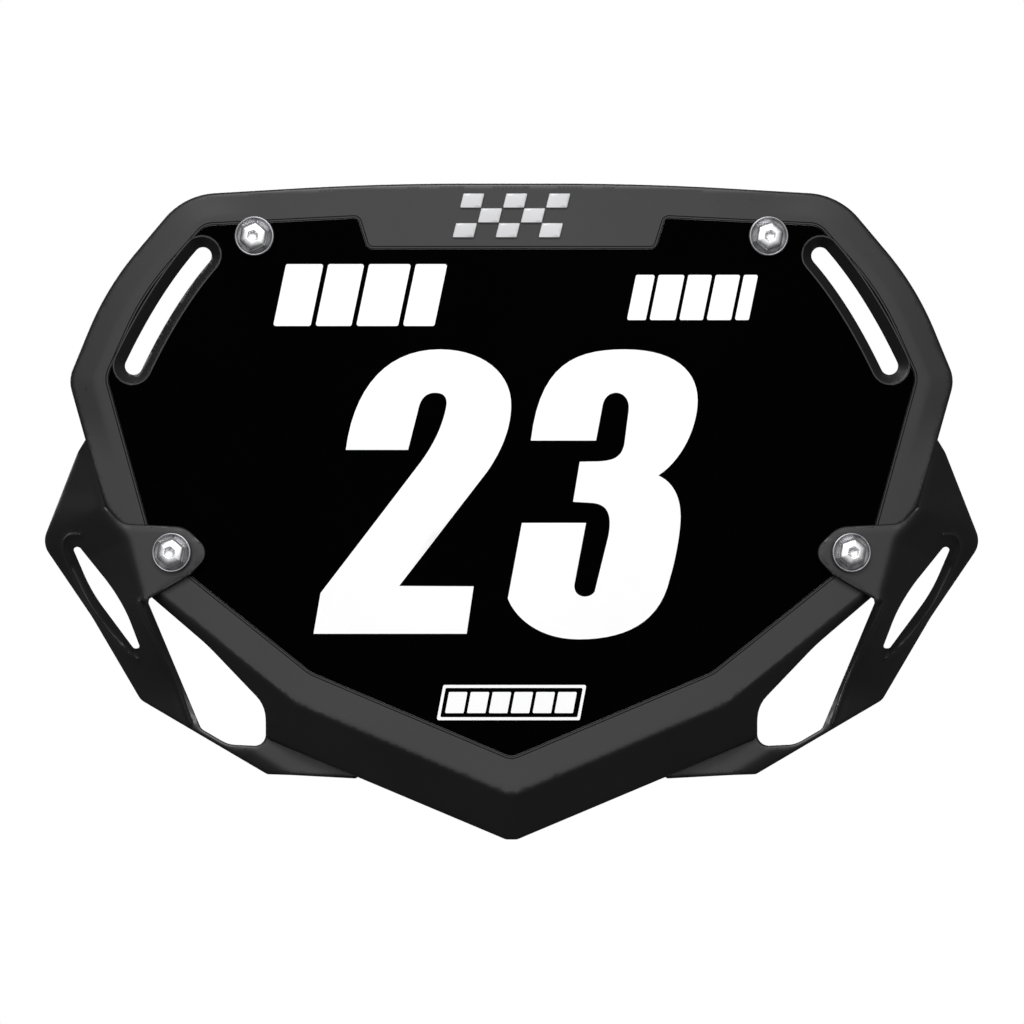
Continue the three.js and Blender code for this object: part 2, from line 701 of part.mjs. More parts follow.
// A closed loop in the YZ plane: through the tray, behind the panel, and round the bar.
function strapLoop(sign) {
  const path = (offset) => {
    const front = FRONT_Y + bow(STRAP_X) + 4.45 - offset;
    const leg = STRAP_LEG_Z + offset;
    const shape = new THREE.Shape();
    const corner = 1.5 + offset;
    shape.moveTo(front + corner, -leg);
    shape.lineTo(0, -leg);
    shape.absarc(0, 0, leg, -Math.PI / 2, Math.PI / 2, false);
    shape.lineTo(front + corner, leg);
    shape.absarc(front + corner, leg - corner, corner, Math.PI / 2, Math.PI, false);
    shape.lineTo(front, -leg + corner);
    shape.absarc(front + corner, -leg + corner, corner, Math.PI, Math.PI * 1.5, false);
    return shape;
  };
  const shape = path(STRAP_THICK / 2);
  shape.holes.push(path(-STRAP_THICK / 2));
  const loop = new THREE.ExtrudeGeometry(shape, {
    depth: STRAP_WIDTH,
    bevelEnabled: false,
    curveSegments: 6,
  });
  // The shape's own x and y become Y and Z, and the extrusion runs along X.
  const turn = new THREE.Matrix4().makeBasis(
    new THREE.Vector3(0, 1, 0),
    new THREE.Vector3(0, 0, 1),
    new THREE.Vector3(1, 0, 0),
  );
  return loop.applyMatrix4(turn).translate(sign * STRAP_X - STRAP_WIDTH / 2, 0, 0);
}

function strapTail(sign) {
  const length = 19;
  const thick = 1.4;
  const underside = STRAP_LEG_Z + STRAP_THICK / 2 + GAP;
  return new THREE.BoxGeometry(STRAP_WIDTH - 1, length, thick).translate(
    sign * STRAP_X,
    2 - length / 2,
    underside + thick / 2,
  );
}

for (const [side, sign] of SIDES) {
  addPiece("bar_pad_" + side, barPad(sign), RUBBER);
  addPiece("strap_" + side, strapLoop(sign), WEBBING);
  addPiece("strap_tail_" + side, strapTail(sign), WEBBING);
}

export default plateGroup;
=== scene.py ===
"""Looks of a race number plate for the crossbar of a BMX handlebar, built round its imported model.

Lengths inside the sections are millimetres, in the model's own frame: X to the viewer's right, -Y out
of the front face, Z up. Each mesh is turned to metres once, when it is made.
"""

import math

import bpy
import numpy as np
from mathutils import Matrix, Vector
from mathutils.geometry import delaunay_2d_cdt


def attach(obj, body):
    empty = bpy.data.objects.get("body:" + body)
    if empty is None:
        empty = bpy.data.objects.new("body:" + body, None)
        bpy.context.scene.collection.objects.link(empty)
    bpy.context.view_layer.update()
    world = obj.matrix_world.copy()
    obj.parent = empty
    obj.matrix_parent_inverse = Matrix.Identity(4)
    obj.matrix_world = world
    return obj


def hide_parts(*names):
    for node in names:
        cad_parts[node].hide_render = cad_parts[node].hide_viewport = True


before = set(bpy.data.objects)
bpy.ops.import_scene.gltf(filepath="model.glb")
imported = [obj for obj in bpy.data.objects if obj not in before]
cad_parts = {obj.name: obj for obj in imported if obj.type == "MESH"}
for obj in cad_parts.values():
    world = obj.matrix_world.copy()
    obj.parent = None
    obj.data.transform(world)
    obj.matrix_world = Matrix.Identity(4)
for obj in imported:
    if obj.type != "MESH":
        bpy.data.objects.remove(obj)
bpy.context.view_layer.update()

scene = bpy.context.scene
scene.view_settings.view_transform = "Standard"

# ---- Camera ----
# Square on to the front face, with parallel sight lines, so the whole plate shows its true outline.
camera_data = bpy.data.cameras.new("front_camera")
camera_data.type = "ORTHO"
camera_data.ortho_scale = 0.27616
camera = bpy.data.objects.new("front_camera", camera_data)
camera.location = (0.00013, -1.5, -0.04046)
camera.rotation_euler = (math.radians(90), 0, 0)
scene.collection.objects.link(camera)
scene.camera = camera


def add_node(tree, kind, links=None, **settings):
    """Adds a node; links maps an input's name or number to a value or to another node's output."""
    node = tree.nodes.new(kind)
    for name, value in settings.items():
        setattr(node, name, value)
    for key, value in (links or {}).items():
        if isinstance(value, bpy.types.NodeSocket):
            tree.links.new(value, node.inputs[key])
        else:
            node.inputs[key].default_value = value
    return node


def linear(hex_colour):
    """An sRGB colour such as "#2a2a2b" as linear red, green, blue and alpha."""
    srgb = np.array([int(hex_colour[i : i + 2], 16) / 255 for i in (1, 3, 5)])
    return (*np.where(srgb <= 0.04045, srgb / 12.92, ((srgb + 0.055) / 1.055) ** 2.4), 1.0)


# ---- Studio ----
# A pale surround, a pale floor below the plate, and three large soft boxes: one square on to the face,
# which makes the forward faces the lightest, one above it and one behind. The floor sends no light back
# to the plate, so that the black moulding stays dark.
world = bpy.data.worlds.new("studio")
world.use_nodes = True
scene.world = world
backdrop = world.node_tree.nodes["Background"]
seen = add_node(world.node_tree, "ShaderNodeLightPath").outputs["Is Camera Ray"]
strength = add_node(world.node_tree, "ShaderNodeMapRange", {0: seen, "To Min": 0.08, "To Max": 1.0})
world.node_tree.links.new(strength.outputs[0], backdrop.inputs["Strength"])
backdrop.inputs["Color"].default_value = (1, 1, 1, 1)


def soft_box(name, place, target, width, height, power):
    """A rectangular lamp at place, facing target; power is in watts."""
    lamp = bpy.data.lights.new(name, "AREA")
    lamp.shape = "RECTANGLE"
    lamp.size, lamp.size_y = width, height
    lamp.energy = power
    holder = bpy.data.objects.new(name, lamp)
    holder.location = place
    holder.rotation_euler = (Vector(target) - Vector(place)).to_track_quat("-Z", "Y").to_euler()
    holder.visible_camera = False
    scene.collection.objects.link(holder)
    return holder


soft_box("front_box", (0.0, -1.3, 0.22), (0, 0, -0.04), 2.6, 1.2, 12.7)
soft_box("key_box", (-0.1, -1.15, 0.8), (0, 0, -0.04), 1.0, 0.4, 16)
soft_box("rear_box", (-0.5, 1.2, 0.6), (0, 0, -0.04), 1.4, 1.0, 22)

floor_mesh = bpy.data.meshes.new("floor")
FLOOR_Z, FLOOR_HALF = -0.1292, 1.6
floor_corners = [(x * FLOOR_HALF, y * FLOOR_HALF, FLOOR_Z) for x, y in ((-1, -1), (1, -1), (1, 1), (-1, 1))]
floor_mesh.from_pydata(floor_corners, [], [(0, 1, 2, 3)])
floor = bpy.data.objects.new("floor", floor_mesh)
scene.collection.objects.link(floor)
floor_paint = bpy.data.materials.new("pale_floor_paint")
floor_paint.use_nodes = True
floor_shader = floor_paint.node_tree.nodes["Principled BSDF"]
floor_shader.inputs["Base Color"].default_value = linear("#dededc")
floor_shader.inputs["Roughness"].default_value = 0.8
floor_mesh.materials.append(floor_paint)
floor.visible_diffuse = False
floor.visible_glossy = False

# ---- Frame ----
# The frame is one nylon moulding: a band round the number panel, a bevelled chin, a skirt that turns
# back all round, and a shallow tray with ribs behind. It bows back towards its sides, and four brass
# inserts, two slots for air and four strap slots are moulded into it.
MM = 0.001
FRONT_Y = -34.0
BOW_RADIUS = 430.0
SKIRT_DEPTH = 14.0
SKIRT_WALL = 3.0
BED_DEPTH, TRAY_DEPTH, WALL_DEPTH = 2.8, 6.4, 8.9
CHIN_SLOPE = 0.85
EDGE_RADIUS = 0.7
BOLT_HOLE_RADIUS = 2.6
RIB_LEVELS = ((23, 77), (-25, 97))
RIB_X, RIB_FOOT_Z, RIB_HEIGHT = 18, -99, 3
RIB_HALF, RIB_SPREAD = 0.75, 1.1
PLATE_BODY = "plate"

frame_half = [
    (-35.3, 48.15, 800),
    (-88.3, 45.1, 19),
    (-109.3, 20.1, 80),
    (-119.5, -4.7, 9),
    (-109.9, -38.9, 3),
    (-102.6, -47.5, 8),
    (-97.4, -63.2, 2),
    (-82, -76.4, 60),
    (-66.5, -92.6, 9),
    (-66.1, -101.6, 2),
    (-1.5, -128.8, 2),
]
window_half = [
    (-38.8, 30.6, 2),
    (-41.4, 38.95, 1.5),
    (-82.8, 36.9, 5),
    (-99.2, 18.4, 70),
    (-109.2, -4.1, 6),
    (-96.6, -49.8, 8),
    (-54.2, -83.8, 12),
    (0, -106.75, 4),
]
hollow_half = frame_half[:6] + [(-98.2, -62.5, 4), (-59.5, -95.5, 12), (0, -121, 5)]
vee_corners = np.array([(98.2, -60.3), (58, -92.35), (0, -117.2)])
vent_path = [(-83.2, 28.6), (-92.9, 15.4), (-101.9, -1.1)]
upper_bolt, lower_bolt, foot_screw = (69.2, 34.0), (91.0, -51.4), (53.0, -98.8)
strap_x, strap_leg_z = 46.0, 12.4


def bow(x):
    """Depth of the plate's bow: x squared over twice the radius."""
    return x**2 / (2 * BOW_RADIUS)


def ease(t, width):
    """t above width, 0 below -width, and between them the parabola that joins both smoothly."""
    return np.where(t < -width, 0, np.where(t > width, t, (t + width) ** 2 / (4 * width)))


def ramp(t, start, stop):
    """0 before start, 1 after stop, and 3s^2 - 2s^3 between them."""
    s = np.clip((t - start) / (stop - start), 0, 1)
    return s * s * (3 - 2 * s)


def mirror_half(corners):
    """A left half outline closed with its mirror image, without doubling a corner on the centre line."""
    return corners + [(-x, z, r) for x, z, r in corners if x < 0][::-1]


def rounded(corners, spacing=1.2):
    """Closed outline through (x, z, radius) corners. Each corner becomes the arc that touches both of its
    sides, and the runs between arcs are divided every `spacing` or less."""
    at = np.array([c[:2] for c in corners], float)
    radius = np.array([c[2] for c in corners], float)
    back, ahead = np.roll(at, 1, 0) - at, np.roll(at, -1, 0) - at
    room = 0.49 * np.minimum(np.linalg.norm(back, axis=1), np.linalg.norm(ahead, axis=1))
    back /= np.linalg.norm(back, axis=1, keepdims=True)
    ahead /= np.linalg.norm(ahead, axis=1, keepdims=True)
    half = np.arccos(np.clip((back * ahead).sum(1), -1, 1)) / 2
    reach = np.minimum(radius / np.tan(half), room)
    centre = at + unit(back + ahead) * (reach / np.cos(half))[:, None]
    turn = -np.sign(back[:, 0] * ahead[:, 1] - back[:, 1] * ahead[:, 0]) * (math.pi - 2 * half)
    start, end = at + back * reach[:, None], at + ahead * reach[:, None]
    runs = []
    for i in range(len(at)):
        arm = start[i] - centre[i]
        steps = int(max(3, abs(turn[i]) / 0.12, abs(turn[i]) * np.linalg.norm(arm) / spacing))
        a = turn[i] * np.linspace(0, 1, steps + 1)[:, None]
        runs.append(centre[i] + np.cos(a) * arm + np.sin(a) * np.array([-arm[1], arm[0]]))
        after = start[(i + 1) % len(at)]
        count = int(np.linalg.norm(after - end[i]) / spacing) + 1
        runs.append(end[i] + (after - end[i]) * (np.arange(1, count) / count)[:, None])
    return np.concatenate(runs)


def unit(vectors):
    """Each row divided by its length."""
    return vectors / np.linalg.norm(vectors, axis=1, keepdims=True)


def offset(path, distance):
    """The closed path moved to its left, which is inward where it runs anticlockwise."""
    along = unit(np.roll(path, -1, 0) - np.roll(path, 1, 0))
    return path + distance * np.stack([-along[:, 1], along[:, 0]], 1)


def closed(path):
    """The path with its first point again at its end."""
    return np.concatenate([path, path[:1]])


def circle(centre, radius, count):
    """A circle of that many points, anticlockwise."""
    a = 2 * math.pi * np.arange(count) / count
    return np.array(centre) + radius * np.stack([np.cos(a), np.sin(a)], 1)


def nearest(points, path):
    """For each point: its distance to the open path, positive to the right of the way the path runs, and
    how far along the path the nearest place lies."""
    a, d = path[:-1], np.diff(path, axis=0)
    length = np.linalg.norm(d, axis=1)
    before = np.concatenate([[0], np.cumsum(length)[:-1]])
    apart, along = np.empty(len(points)), np.empty(len(points))
    for part in np.array_split(np.arange(len(points)), len(points) // 3000 + 1):
        gap = points[part, None, :] - a
        t = np.clip((gap * d).sum(2) / (length**2 + 1e-12), 0, 1)
        away = np.linalg.norm(gap - t[..., None] * d, axis=2)
        best = away.argmin(1)
        row = np.arange(len(part))
        side = gap[row, best, 0] * d[best, 1] - gap[row, best, 1] * d[best, 0]
        apart[part] = np.where(side >= 0, 1, -1) * away[row, best]
        along[part] = before[best] + t[row, best] * length[best]
    return apart, along


def inside(points, path):
    """Whether each point lies within the closed path: its line to the right crosses it an odd number of
    times."""
    a, b = path, np.roll(path, -1, 0)
    rise = np.where(a[:, 1] == b[:, 1], 1e-12, b[:, 1] - a[:, 1])
    result = np.empty(len(points), bool)
    for part in np.array_split(np.arange(len(points)), len(points) // 3000 + 1):
        x, z = points[part, 0, None], points[part, 1, None]
        crosses = (a[:, 1] > z) != (b[:, 1] > z)
        at = a[:, 0] + (z - a[:, 1]) * (b[:, 0] - a[:, 0]) / rise
        result[part] = (crosses & (x < at)).sum(1) % 2 == 1
    return result


def ring(path, distance):
    """The closed path moved inward, with gaps, marked by nan, where it would cross itself."""
    moved = closed(offset(path, distance))
    near = np.abs(nearest(moved, closed(path))[0]) < abs(distance) - 0.02
    return np.where(near[:, None], np.nan, moved)


def flat_sheet(loops, creases, spacing):
    """Flat triangles inside the first loop and outside the others, with edges along every loop and along
    the parts of creases that stay clear of the loops. Between the lines the points are a grid of staggered
    rows, without those that share a cell of half a spacing with a point of a line."""
    lines = [closed(loop) for loop in loops]
    for crease in creases:
        clear = ~np.isnan(crease[:, 0])
        spots = np.where(clear[:, None], crease, 0.0)
        clear &= inside(spots, loops[0])
        for loop in loops:
            clear &= np.abs(nearest(spots, closed(loop))[0]) > 0.05
        cuts = np.flatnonzero(np.diff(clear.astype(int))) + 1
        lines += [run for run in np.split(crease, cuts) if len(run) > 1 and not np.isnan(run).any()]
    low, high = loops[0].min(0), loops[0].max(0)
    x, z = np.meshgrid(np.arange(low[0], high[0], spacing), np.arange(low[1], high[1], spacing * 0.87))
    x = x + (np.arange(len(x)) % 2)[:, None] * spacing / 2
    grid = np.stack([x.ravel(), z.ravel()], 1)
    cell, key = 0.5 * spacing, np.array([1, 100000])
    taken = np.round(np.concatenate(lines) / cell).astype(int) @ key
    cells = np.round(grid / cell).astype(int) @ key
    grid = grid[~np.isin(cells, taken) & inside(grid, loops[0])]
    ends = np.cumsum([len(line) for line in lines])
    edges = [np.stack([np.arange(e - len(line), e - 1)] * 2, 1) + [0, 1] for e, line in zip(ends, lines)]
    points = np.concatenate([*lines, grid])
    made = delaunay_2d_cdt(points.tolist(), np.concatenate(edges).tolist(), [], 0, 1e-5)
    flat, triangles = np.array(made[0]), np.array(made[2])
    middle = flat[triangles].mean(1)
    kept = inside(middle, loops[0])
    for hole in loops[1:]:
        kept &= ~inside(middle, hole)
    return flat, triangles[kept]


def plate_solid(loops, front, back, creases=(), spacing=1.1, wall_rows=6):
    """A closed solid between two depths over an outline: y = front of the plate + bow(x) + depth(x, z).
    Both faces use the same flat triangles, and a wall of several rows joins them along every free edge."""
    flat, triangles = flat_sheet(loops, creases, spacing)
    used, triangles = np.unique(triangles, return_inverse=True)
    flat, triangles = flat[used], triangles.reshape(-1, 3)
    base = FRONT_Y + bow(flat[:, 0])
    near = np.stack([flat[:, 0], base + front(flat), flat[:, 1]], 1)
    far = np.stack([flat[:, 0], base + back(flat), flat[:, 1]], 1)
    edges = np.concatenate([triangles[:, [0, 1]], triangles[:, [1, 2]], triangles[:, [2, 0]]])
    keys = np.sort(edges, 1)
    _, first, count = np.unique(keys, axis=0, return_index=True, return_counts=True)
    rim = edges[first[count == 1]]
    on_rim = np.unique(rim)
    column = np.zeros(len(flat), int)
    column[on_rim] = np.arange(len(on_rim))
    rows = [np.arange(len(flat))]
    points = [near, far]
    total = 2 * len(flat)
    for share in np.arange(1, wall_rows) / wall_rows:
        points.append(near[on_rim] + (far[on_rim] - near[on_rim]) * share)
        rows.append(total + column)
        total += len(on_rim)
    rows.append(np.arange(len(flat)) + len(flat))
    faces = [triangles, triangles[:, ::-1] + len(flat)]
    for one, two in zip(rows, rows[1:]):
        i, j = rim[:, 0], rim[:, 1]
        faces.append(np.stack([one[i], two[i], two[j]], 1))
        faces.append(np.stack([one[i], two[j], one[j]], 1))
    return np.concatenate(points), np.concatenate(faces)


def piece(name, points, faces, material, body, slot_name, nodes=(), sharp=38, uv=None):
    """Puts a mesh, given in millimetres, into the scene as one piece that rides on a body."""
    mesh = bpy.data.meshes.new(name)
    mesh.from_pydata((points * MM).tolist(), [], np.asarray(faces).tolist())
    mesh.update()
    mesh.shade_smooth()
    mesh.set_sharp_from_angle(angle=math.radians(sharp))
    if uv is not None:
        corner_points = np.empty(len(mesh.loops), int)
        mesh.loops.foreach_get("vertex_index", corner_points)
        layer = mesh.uv_layers.new(name="surface_mm")
        layer.data.foreach_set("uv", uv[corner_points].ravel())
    mesh.materials.append(material)
    made = bpy.data.objects.new(name, mesh)
    scene.collection.objects.link(made)
    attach(made, body)
    if nodes:
        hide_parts(*nodes)
    return made


def edge_rings(path, radius):
    """Copies of an outline inside it, where an edge rounded to that radius has turned by each angle."""
    return [ring(path, radius * (1 - math.cos(math.radians(a)))) for a in (28, 52, 90)]


def round_over(distance, radius):
    """How far an edge rounded to that radius has dropped at a distance inside its outline."""
    inner = np.clip(radius - distance, 0, radius)
    return radius - np.sqrt(radius**2 - inner**2)


def band_round(path, half_width, shift=0.0):
    """Outline of a band round a three point path, and the band's middle line. The line is the quadratic
    curve through the three points, moved sideways by shift, and the band ends in half circles."""
    p0, p1, p2 = np.array(path)
    t = np.linspace(0, 1, 25)[:, None]
    curve = p0 * (1 - t) * (1 - 2 * t) + p1 * 4 * t * (1 - t) + p2 * t * (2 * t - 1)
    along = unit(np.gradient(curve, axis=0))
    across = np.stack([-along[:, 1], along[:, 0]], 1)
    curve = curve + shift * across
    ends = []
    for at, side in ((curve[-1], across[-1]), (curve[0], -across[0])):
        a = -math.pi * np.arange(1, 12)[:, None] / 12
        ends.append(at + half_width * (np.cos(a) * side + np.sin(a) * np.array([-side[1], side[0]])))
    left, right = curve + half_width * across, (curve - half_width * across)[::-1]
    outline = np.concatenate([left, ends[0], right, ends[1]])
    return outline[::-1], curve


def flip_x(path):
    """Mirror image of a closed path, still running the same way round."""
    return (path * [-1, 1])[::-1]


def block(x, z, half_x, half_z, radius):
    """Corners of an upright block round (x, z), for rounded."""
    return [(x + i * half_x, z + j * half_z, radius) for i, j in ((-1, -1), (1, -1), (1, 1), (-1, 1))]


vent = band_round(vent_path, 2.35)[0]
vent_rim, rim_line = band_round(vent_path, 5.4, -0.4)
frame_rim = rounded(mirror_half(frame_half))
window = rounded(mirror_half(window_half))
skirt = rounded(mirror_half(hollow_half), 1.6)
strap_slots = [
    rounded(block(x, z, 8.6, 1.5, 0.6), 2)
    for x in (-strap_x, strap_x)
    for z in (-strap_leg_z, strap_leg_z)
]
bolt_places = [(s * x, z) for x, z in (upper_bolt, lower_bolt) for s in (-1, 1)]
bolt_holes = [circle(place, BOLT_HOLE_RADIUS, 20) for place in bolt_places]
frame_loops = [frame_rim, vent, flip_x(vent), *strap_slots, *bolt_holes]


def vee_drop(p):
    """How far below the vee line a point lies; the two halves meet in a flat strip 3 mm wide."""
    x = 1.5 + ease(np.abs(p[:, 0]) - 1.5, 0.2)
    (x0, z0), (x1, z1), (x2, z2) = vee_corners
    outer = z0 + (x - x0) * (z1 - z0) / (x1 - x0)
    inner = z1 + (x - x1) * (z2 - z1) / (x2 - x1)
    return np.maximum(outer, inner) - p[:, 1]


def mirrored_left(p):
    """The points with their x made negative, so that the left half's lines serve both halves."""
    return np.stack([-np.abs(p[:, 0]), p[:, 1]], 1)


def frame_front(p):
    """Depth of the front: the band, its outer zone sloping back, the chin's bevel, a fine lip and groove
    round the window, the tray behind the panel, and the rims of the vents."""
    from_rim = -nearest(p, closed(frame_rim))[0]
    into_window = -nearest(p, closed(window))[0]
    x, z = np.abs(p[:, 0]), p[:, 1]
    shoulder = ramp(x, 64, 86) * ramp(z, -32, -12)
    band = 0.12 * shoulder * ease(6.3 - from_rim, 0.5) + CHIN_SLOPE * ease(vee_drop(p), 0.5)
    lip = np.interp(-into_window, [0, 0.1, 0.4, 0.55, 0.7], [0.1, 0, 0, 0.25, 0])
    tray = np.interp(into_window, [0, 0.06, 6.0, 6.1], [0, BED_DEPTH, BED_DEPTH, TRAY_DEPTH])
    away = np.abs(nearest(mirrored_left(p), rim_line)[0])
    vent_rim_depth = np.interp(away, [2.0, 4.75, 4.95, 5.3, 5.4], [4.6, 0.6, 0.2, 0.2, 0.34])
    return np.where(away < 5.41, vent_rim_depth, band + lip + tray) + round_over(from_rim, EDGE_RADIUS)


def frame_back(p):
    """Depth of the back: the skirt's edge, the hollow inside it, ribs and bosses standing in the hollow,
    a counterbore in each boss, and a pocket behind the top of the band."""
    x, z = np.abs(p[:, 0]), p[:, 1]
    within = -nearest(p, closed(skirt))[0] - SKIRT_WALL
    depth = np.interp(within, [0, 0.5], [SKIRT_DEPTH, WALL_DEPTH])
    rib = np.interp(np.abs(x - RIB_X), [RIB_HALF, RIB_SPREAD], [RIB_HEIGHT, 0]) * (z > RIB_FOOT_Z)
    for height, end in RIB_LEVELS:
        along = np.interp(np.abs(z - height), [RIB_HALF, RIB_SPREAD], [RIB_HEIGHT, 0]) * (x < end)
        rib = np.maximum(rib, along)
    depth = np.maximum(depth, WALL_DEPTH + rib * (within > 0.3))
    for place, bore in ((upper_bolt, 3.4), (lower_bolt, 3.4), (foot_screw, 0)):
        away = np.hypot(x - place[0], z - place[1])
        boss = np.interp(away, [bore, bore + 0.15, 4.9, 5.2], [9.9 if bore else 12.0, 12.0, 12.0, 0])
        depth = np.where(away < 5.2, np.maximum(boss, depth * (away > 3.6)), depth)
    pocket = np.maximum(x - 35, np.abs(z - 38.75) - 5.25)
    depth = np.minimum(depth, np.interp(pocket, [-0.3, 0], [3.0, 99]))
    return depth - round_over(-nearest(p, closed(frame_rim))[0], 0.8)


def rib_lines():
    """The edges of the ribs as straight creases."""
    lines = []
    for t in (-RIB_SPREAD, -RIB_HALF, RIB_HALF, RIB_SPREAD):
        for z, end in RIB_LEVELS:
            lines.append(np.stack([np.linspace(-end, end, 98), np.full(98, z + t)], 1))
        for x in (-RIB_X, RIB_X):
            lines.append(np.stack([np.full(72, x + t), np.linspace(RIB_FOOT_Z, 41, 72)], 1))
    return lines


def moulded_nylon(name, colour, light_spot, grain_mm, roughness):
    """Nylon, or a like plastic or rubber, out of a spark-eroded mould: an even, fine, matt grain with
    faint flow marks. The real grain is about 0.1 mm and is drawn coarser, so that it shows."""
    material = bpy.data.materials.new(name)
    material.use_nodes = True
    tree = material.node_tree
    shader = tree.nodes["Principled BSDF"]
    place = add_node(tree, "ShaderNodeTexCoord").outputs["Object"]
    grain_look = {"Vector": place, "Scale": 1 / (grain_mm * MM), "Detail": 3.0, "Roughness": 0.6}
    grain = add_node(tree, "ShaderNodeTexNoise", grain_look).outputs["Fac"]
    flow_look = {"Vector": place, "Scale": 1 / (28 * MM), "Detail": 4.0, "Distortion": 0.6}
    flow = add_node(tree, "ShaderNodeTexNoise", flow_look).outputs["Fac"]
    tone = add_node(tree, "ShaderNodeMapRange", {0: flow, "From Min": 0.35, "From Max": 0.65}).outputs[0]
    tint = add_node(
        tree, "ShaderNodeMix", {0: tone, 6: linear(colour), 7: linear(light_spot)}, data_type="RGBA"
    ).outputs[2]
    rough = add_node(
        tree, "ShaderNodeMapRange", {0: grain, "To Min": roughness - 0.07, "To Max": roughness + 0.07}
    ).outputs[0]
    bump = add_node(
        tree, "ShaderNodeBump", {"Height": grain, "Strength": 0.22, "Distance": 0.05 * MM}
    ).outputs[0]
    tree.links.new(tint, shader.inputs["Base Color"])
    tree.links.new(rough, shader.inputs["Roughness"])
    tree.links.new(bump, shader.inputs["Normal"])
    shader.inputs["IOR"].default_value = 1.5
    shader.inputs["Specular IOR Level"].default_value = 0.5
    return material


frame_nylon = moulded_nylon("moulded_frame_nylon", "#1d1d1e", "#202021", 0.45, 0.40)
frame_creases = [
    *[np.stack([np.full(30, x), np.linspace(-128, -108, 30)], 1) for x in (-1.7, -1.3, 1.3, 1.7)],
    *edge_rings(frame_rim, EDGE_RADIUS),
    ring(frame_rim, 5.8),
    *[ring(window, d) for d in (0.06, -0.1, -0.4, -0.55, -0.7, 6.0, 6.1)],
    closed(window),
    *[ring(r, d) for r in (vent_rim, flip_x(vent_rim)) for d in (-0.06, 0.1, 0.45, 0.65)],
    ring(skirt, SKIRT_WALL),
    ring(skirt, SKIRT_WALL + 0.5),
    *rib_lines(),
    *[
        closed(circle((s * x, z), r, 24))
        for x, z in (upper_bolt, lower_bolt, foot_screw)
        for s in (-1, 1)
        for r in (3.4, 3.55, 4.9, 5.2)
    ],
]
points, faces = plate_solid(frame_loops, frame_front, frame_back, frame_creases)
piece("face_frame_moulding", points, faces, frame_nylon, PLATE_BODY, "frame_plastic", ["face_frame"])

# ---- Side wings ----
# Each wing is its own nylon moulding. A tab lies over the band under the lower bolt, the side sweeps
# back from a soft fold, and the foot passes behind the chin, where a screw holds it.
wing_corners = [
    (-40.9, -112.4, 1),
    (-43.5, -104, 2),
    (-48, -92.5, 3),
    (-63, -92.5, 3),
    (-66.3, -97, 1),
    (-66.3, -103.6, 3.5),
    (-76.5, -103.1, 8),
    (-83.7, -98.9, 2.5),
    (-97.9, -65, 1),
    (-97.7, -63.9, 0.5),
    (-86.5, -57.4, 1),
    (-80.9, -51.4, 8.5),
    (-88, -44.4, 7),
    (-105.2, -43.6, 6),
    (-109.6, -38.9, 0.5),
    (-114.7, -20.6, 0.3),
    (-117, -24.4, 10),
    (-126.6, -48.9, 6),
    (-113.1, -68.8, 40),
    (-100, -91.15, 4),
    (-65.9, -111.2, 2),
    (-59.7, -111.4, 0.5),
]
lens_corners = [
    (-116.7, -49.7, 1.2),
    (-118.3, -50.2, 1),
    (-113.2, -62, 45),
    (-101.9, -77.2, 1),
    (-100.1, -77.2, 1),
    (-103.9, -67.2, 45),
    (-108, -60.5, 45),
]
fold_line = np.array(
    [
        (-115.85, -20.5),
        (-110.3, -39.1),
        (-103.4, -47.7),
        (-99.2, -64.5),
        (-86.4, -98.8),
        (-84, -100.4),
        (-76.8, -104.1),
        (-70, -104.8),
        (-59.7, -111.4),
    ]
)
TAB_FRONT, TAB_THICK, LEDGE_DEPTH = -2.5, 2.2, 14.3
BAND_CLEARANCE = 0.5


def anticlockwise(path):
    """The closed path, turned round if its area is negative."""
    x, z = path[:, 0], path[:, 1]
    return path if (x * np.roll(z, -1) - np.roll(x, -1) * z).sum() > 0 else path[::-1]


def smooth_line(corners, steps=12):
    """Open curve through the corners: each stretch is the Catmull-Rom cubic of its four nearest corners."""
    c = np.array(corners, float)
    c = np.concatenate([2 * c[:1] - c[1:2], c, 2 * c[-1:] - c[-2:-1]])
    t = (np.arange(steps) / steps)[:, None]
    runs = []
    for a, b, d, e in zip(c, c[1:], c[2:], c[3:]):
        bend, twist = 2 * a - 5 * b + 4 * d - e, 3 * b - a - 3 * d + e
        runs.append(0.5 * (2 * b + (d - a) * t + bend * t**2 + twist * t**3))
    return np.concatenate([*runs, c[-2:-1]])


def beside(line, distance):
    """The open line moved to its right."""
    along = unit(np.gradient(line, axis=0))
    return line + distance * np.stack([along[:, 1], -along[:, 0]], 1)


wing_rim = anticlockwise(rounded(wing_corners, 0.9))
lens = anticlockwise(rounded(lens_corners, 0.9))
lens_middle = np.array([(-119.5, -46), (-117.6, -50.2), (-100.3, -77.8), (-97, -82)])
lens_bead = smooth_line(
    [
        (-116.6, -46.6),
        (-119.6, -46.9),
        (-120.9, -49.6),
        (-119.2, -54.8),
        (-114.6, -64.2),
        (-111.1, -69.3),
        (-105.9, -75.9),
        (-101, -80.2),
    ]
)
drop_bead = smooth_line([(-99.9, -63.6), (-99.6, -67.2), (-91.6, -84.0), (-86.6, -97.6)], 16)


def wing_base(low, outward):
    """Depth of the wing's front without its beads, low millimetres under the bar. From the band's face it
    steps over the band at the tab and falls back to the ledge under the chin. Outward of the fold it slopes
    back, the most beside the lens-shaped opening."""
    over_band = ramp(low, 23, 41) * (TAB_FRONT - BAND_CLEARANCE)
    depth = BAND_CLEARANCE + over_band + ramp(low, 63.5, 92) * (LEDGE_DEPTH - TAB_FRONT)
    slope = 1.25 + 0.5 * ramp(low, 49, 69) - ramp(low, 69, 91)
    return depth + slope * ease(outward - 0.8 + 1.4 * (1 - ramp(low, 34, 44)), 1.7)


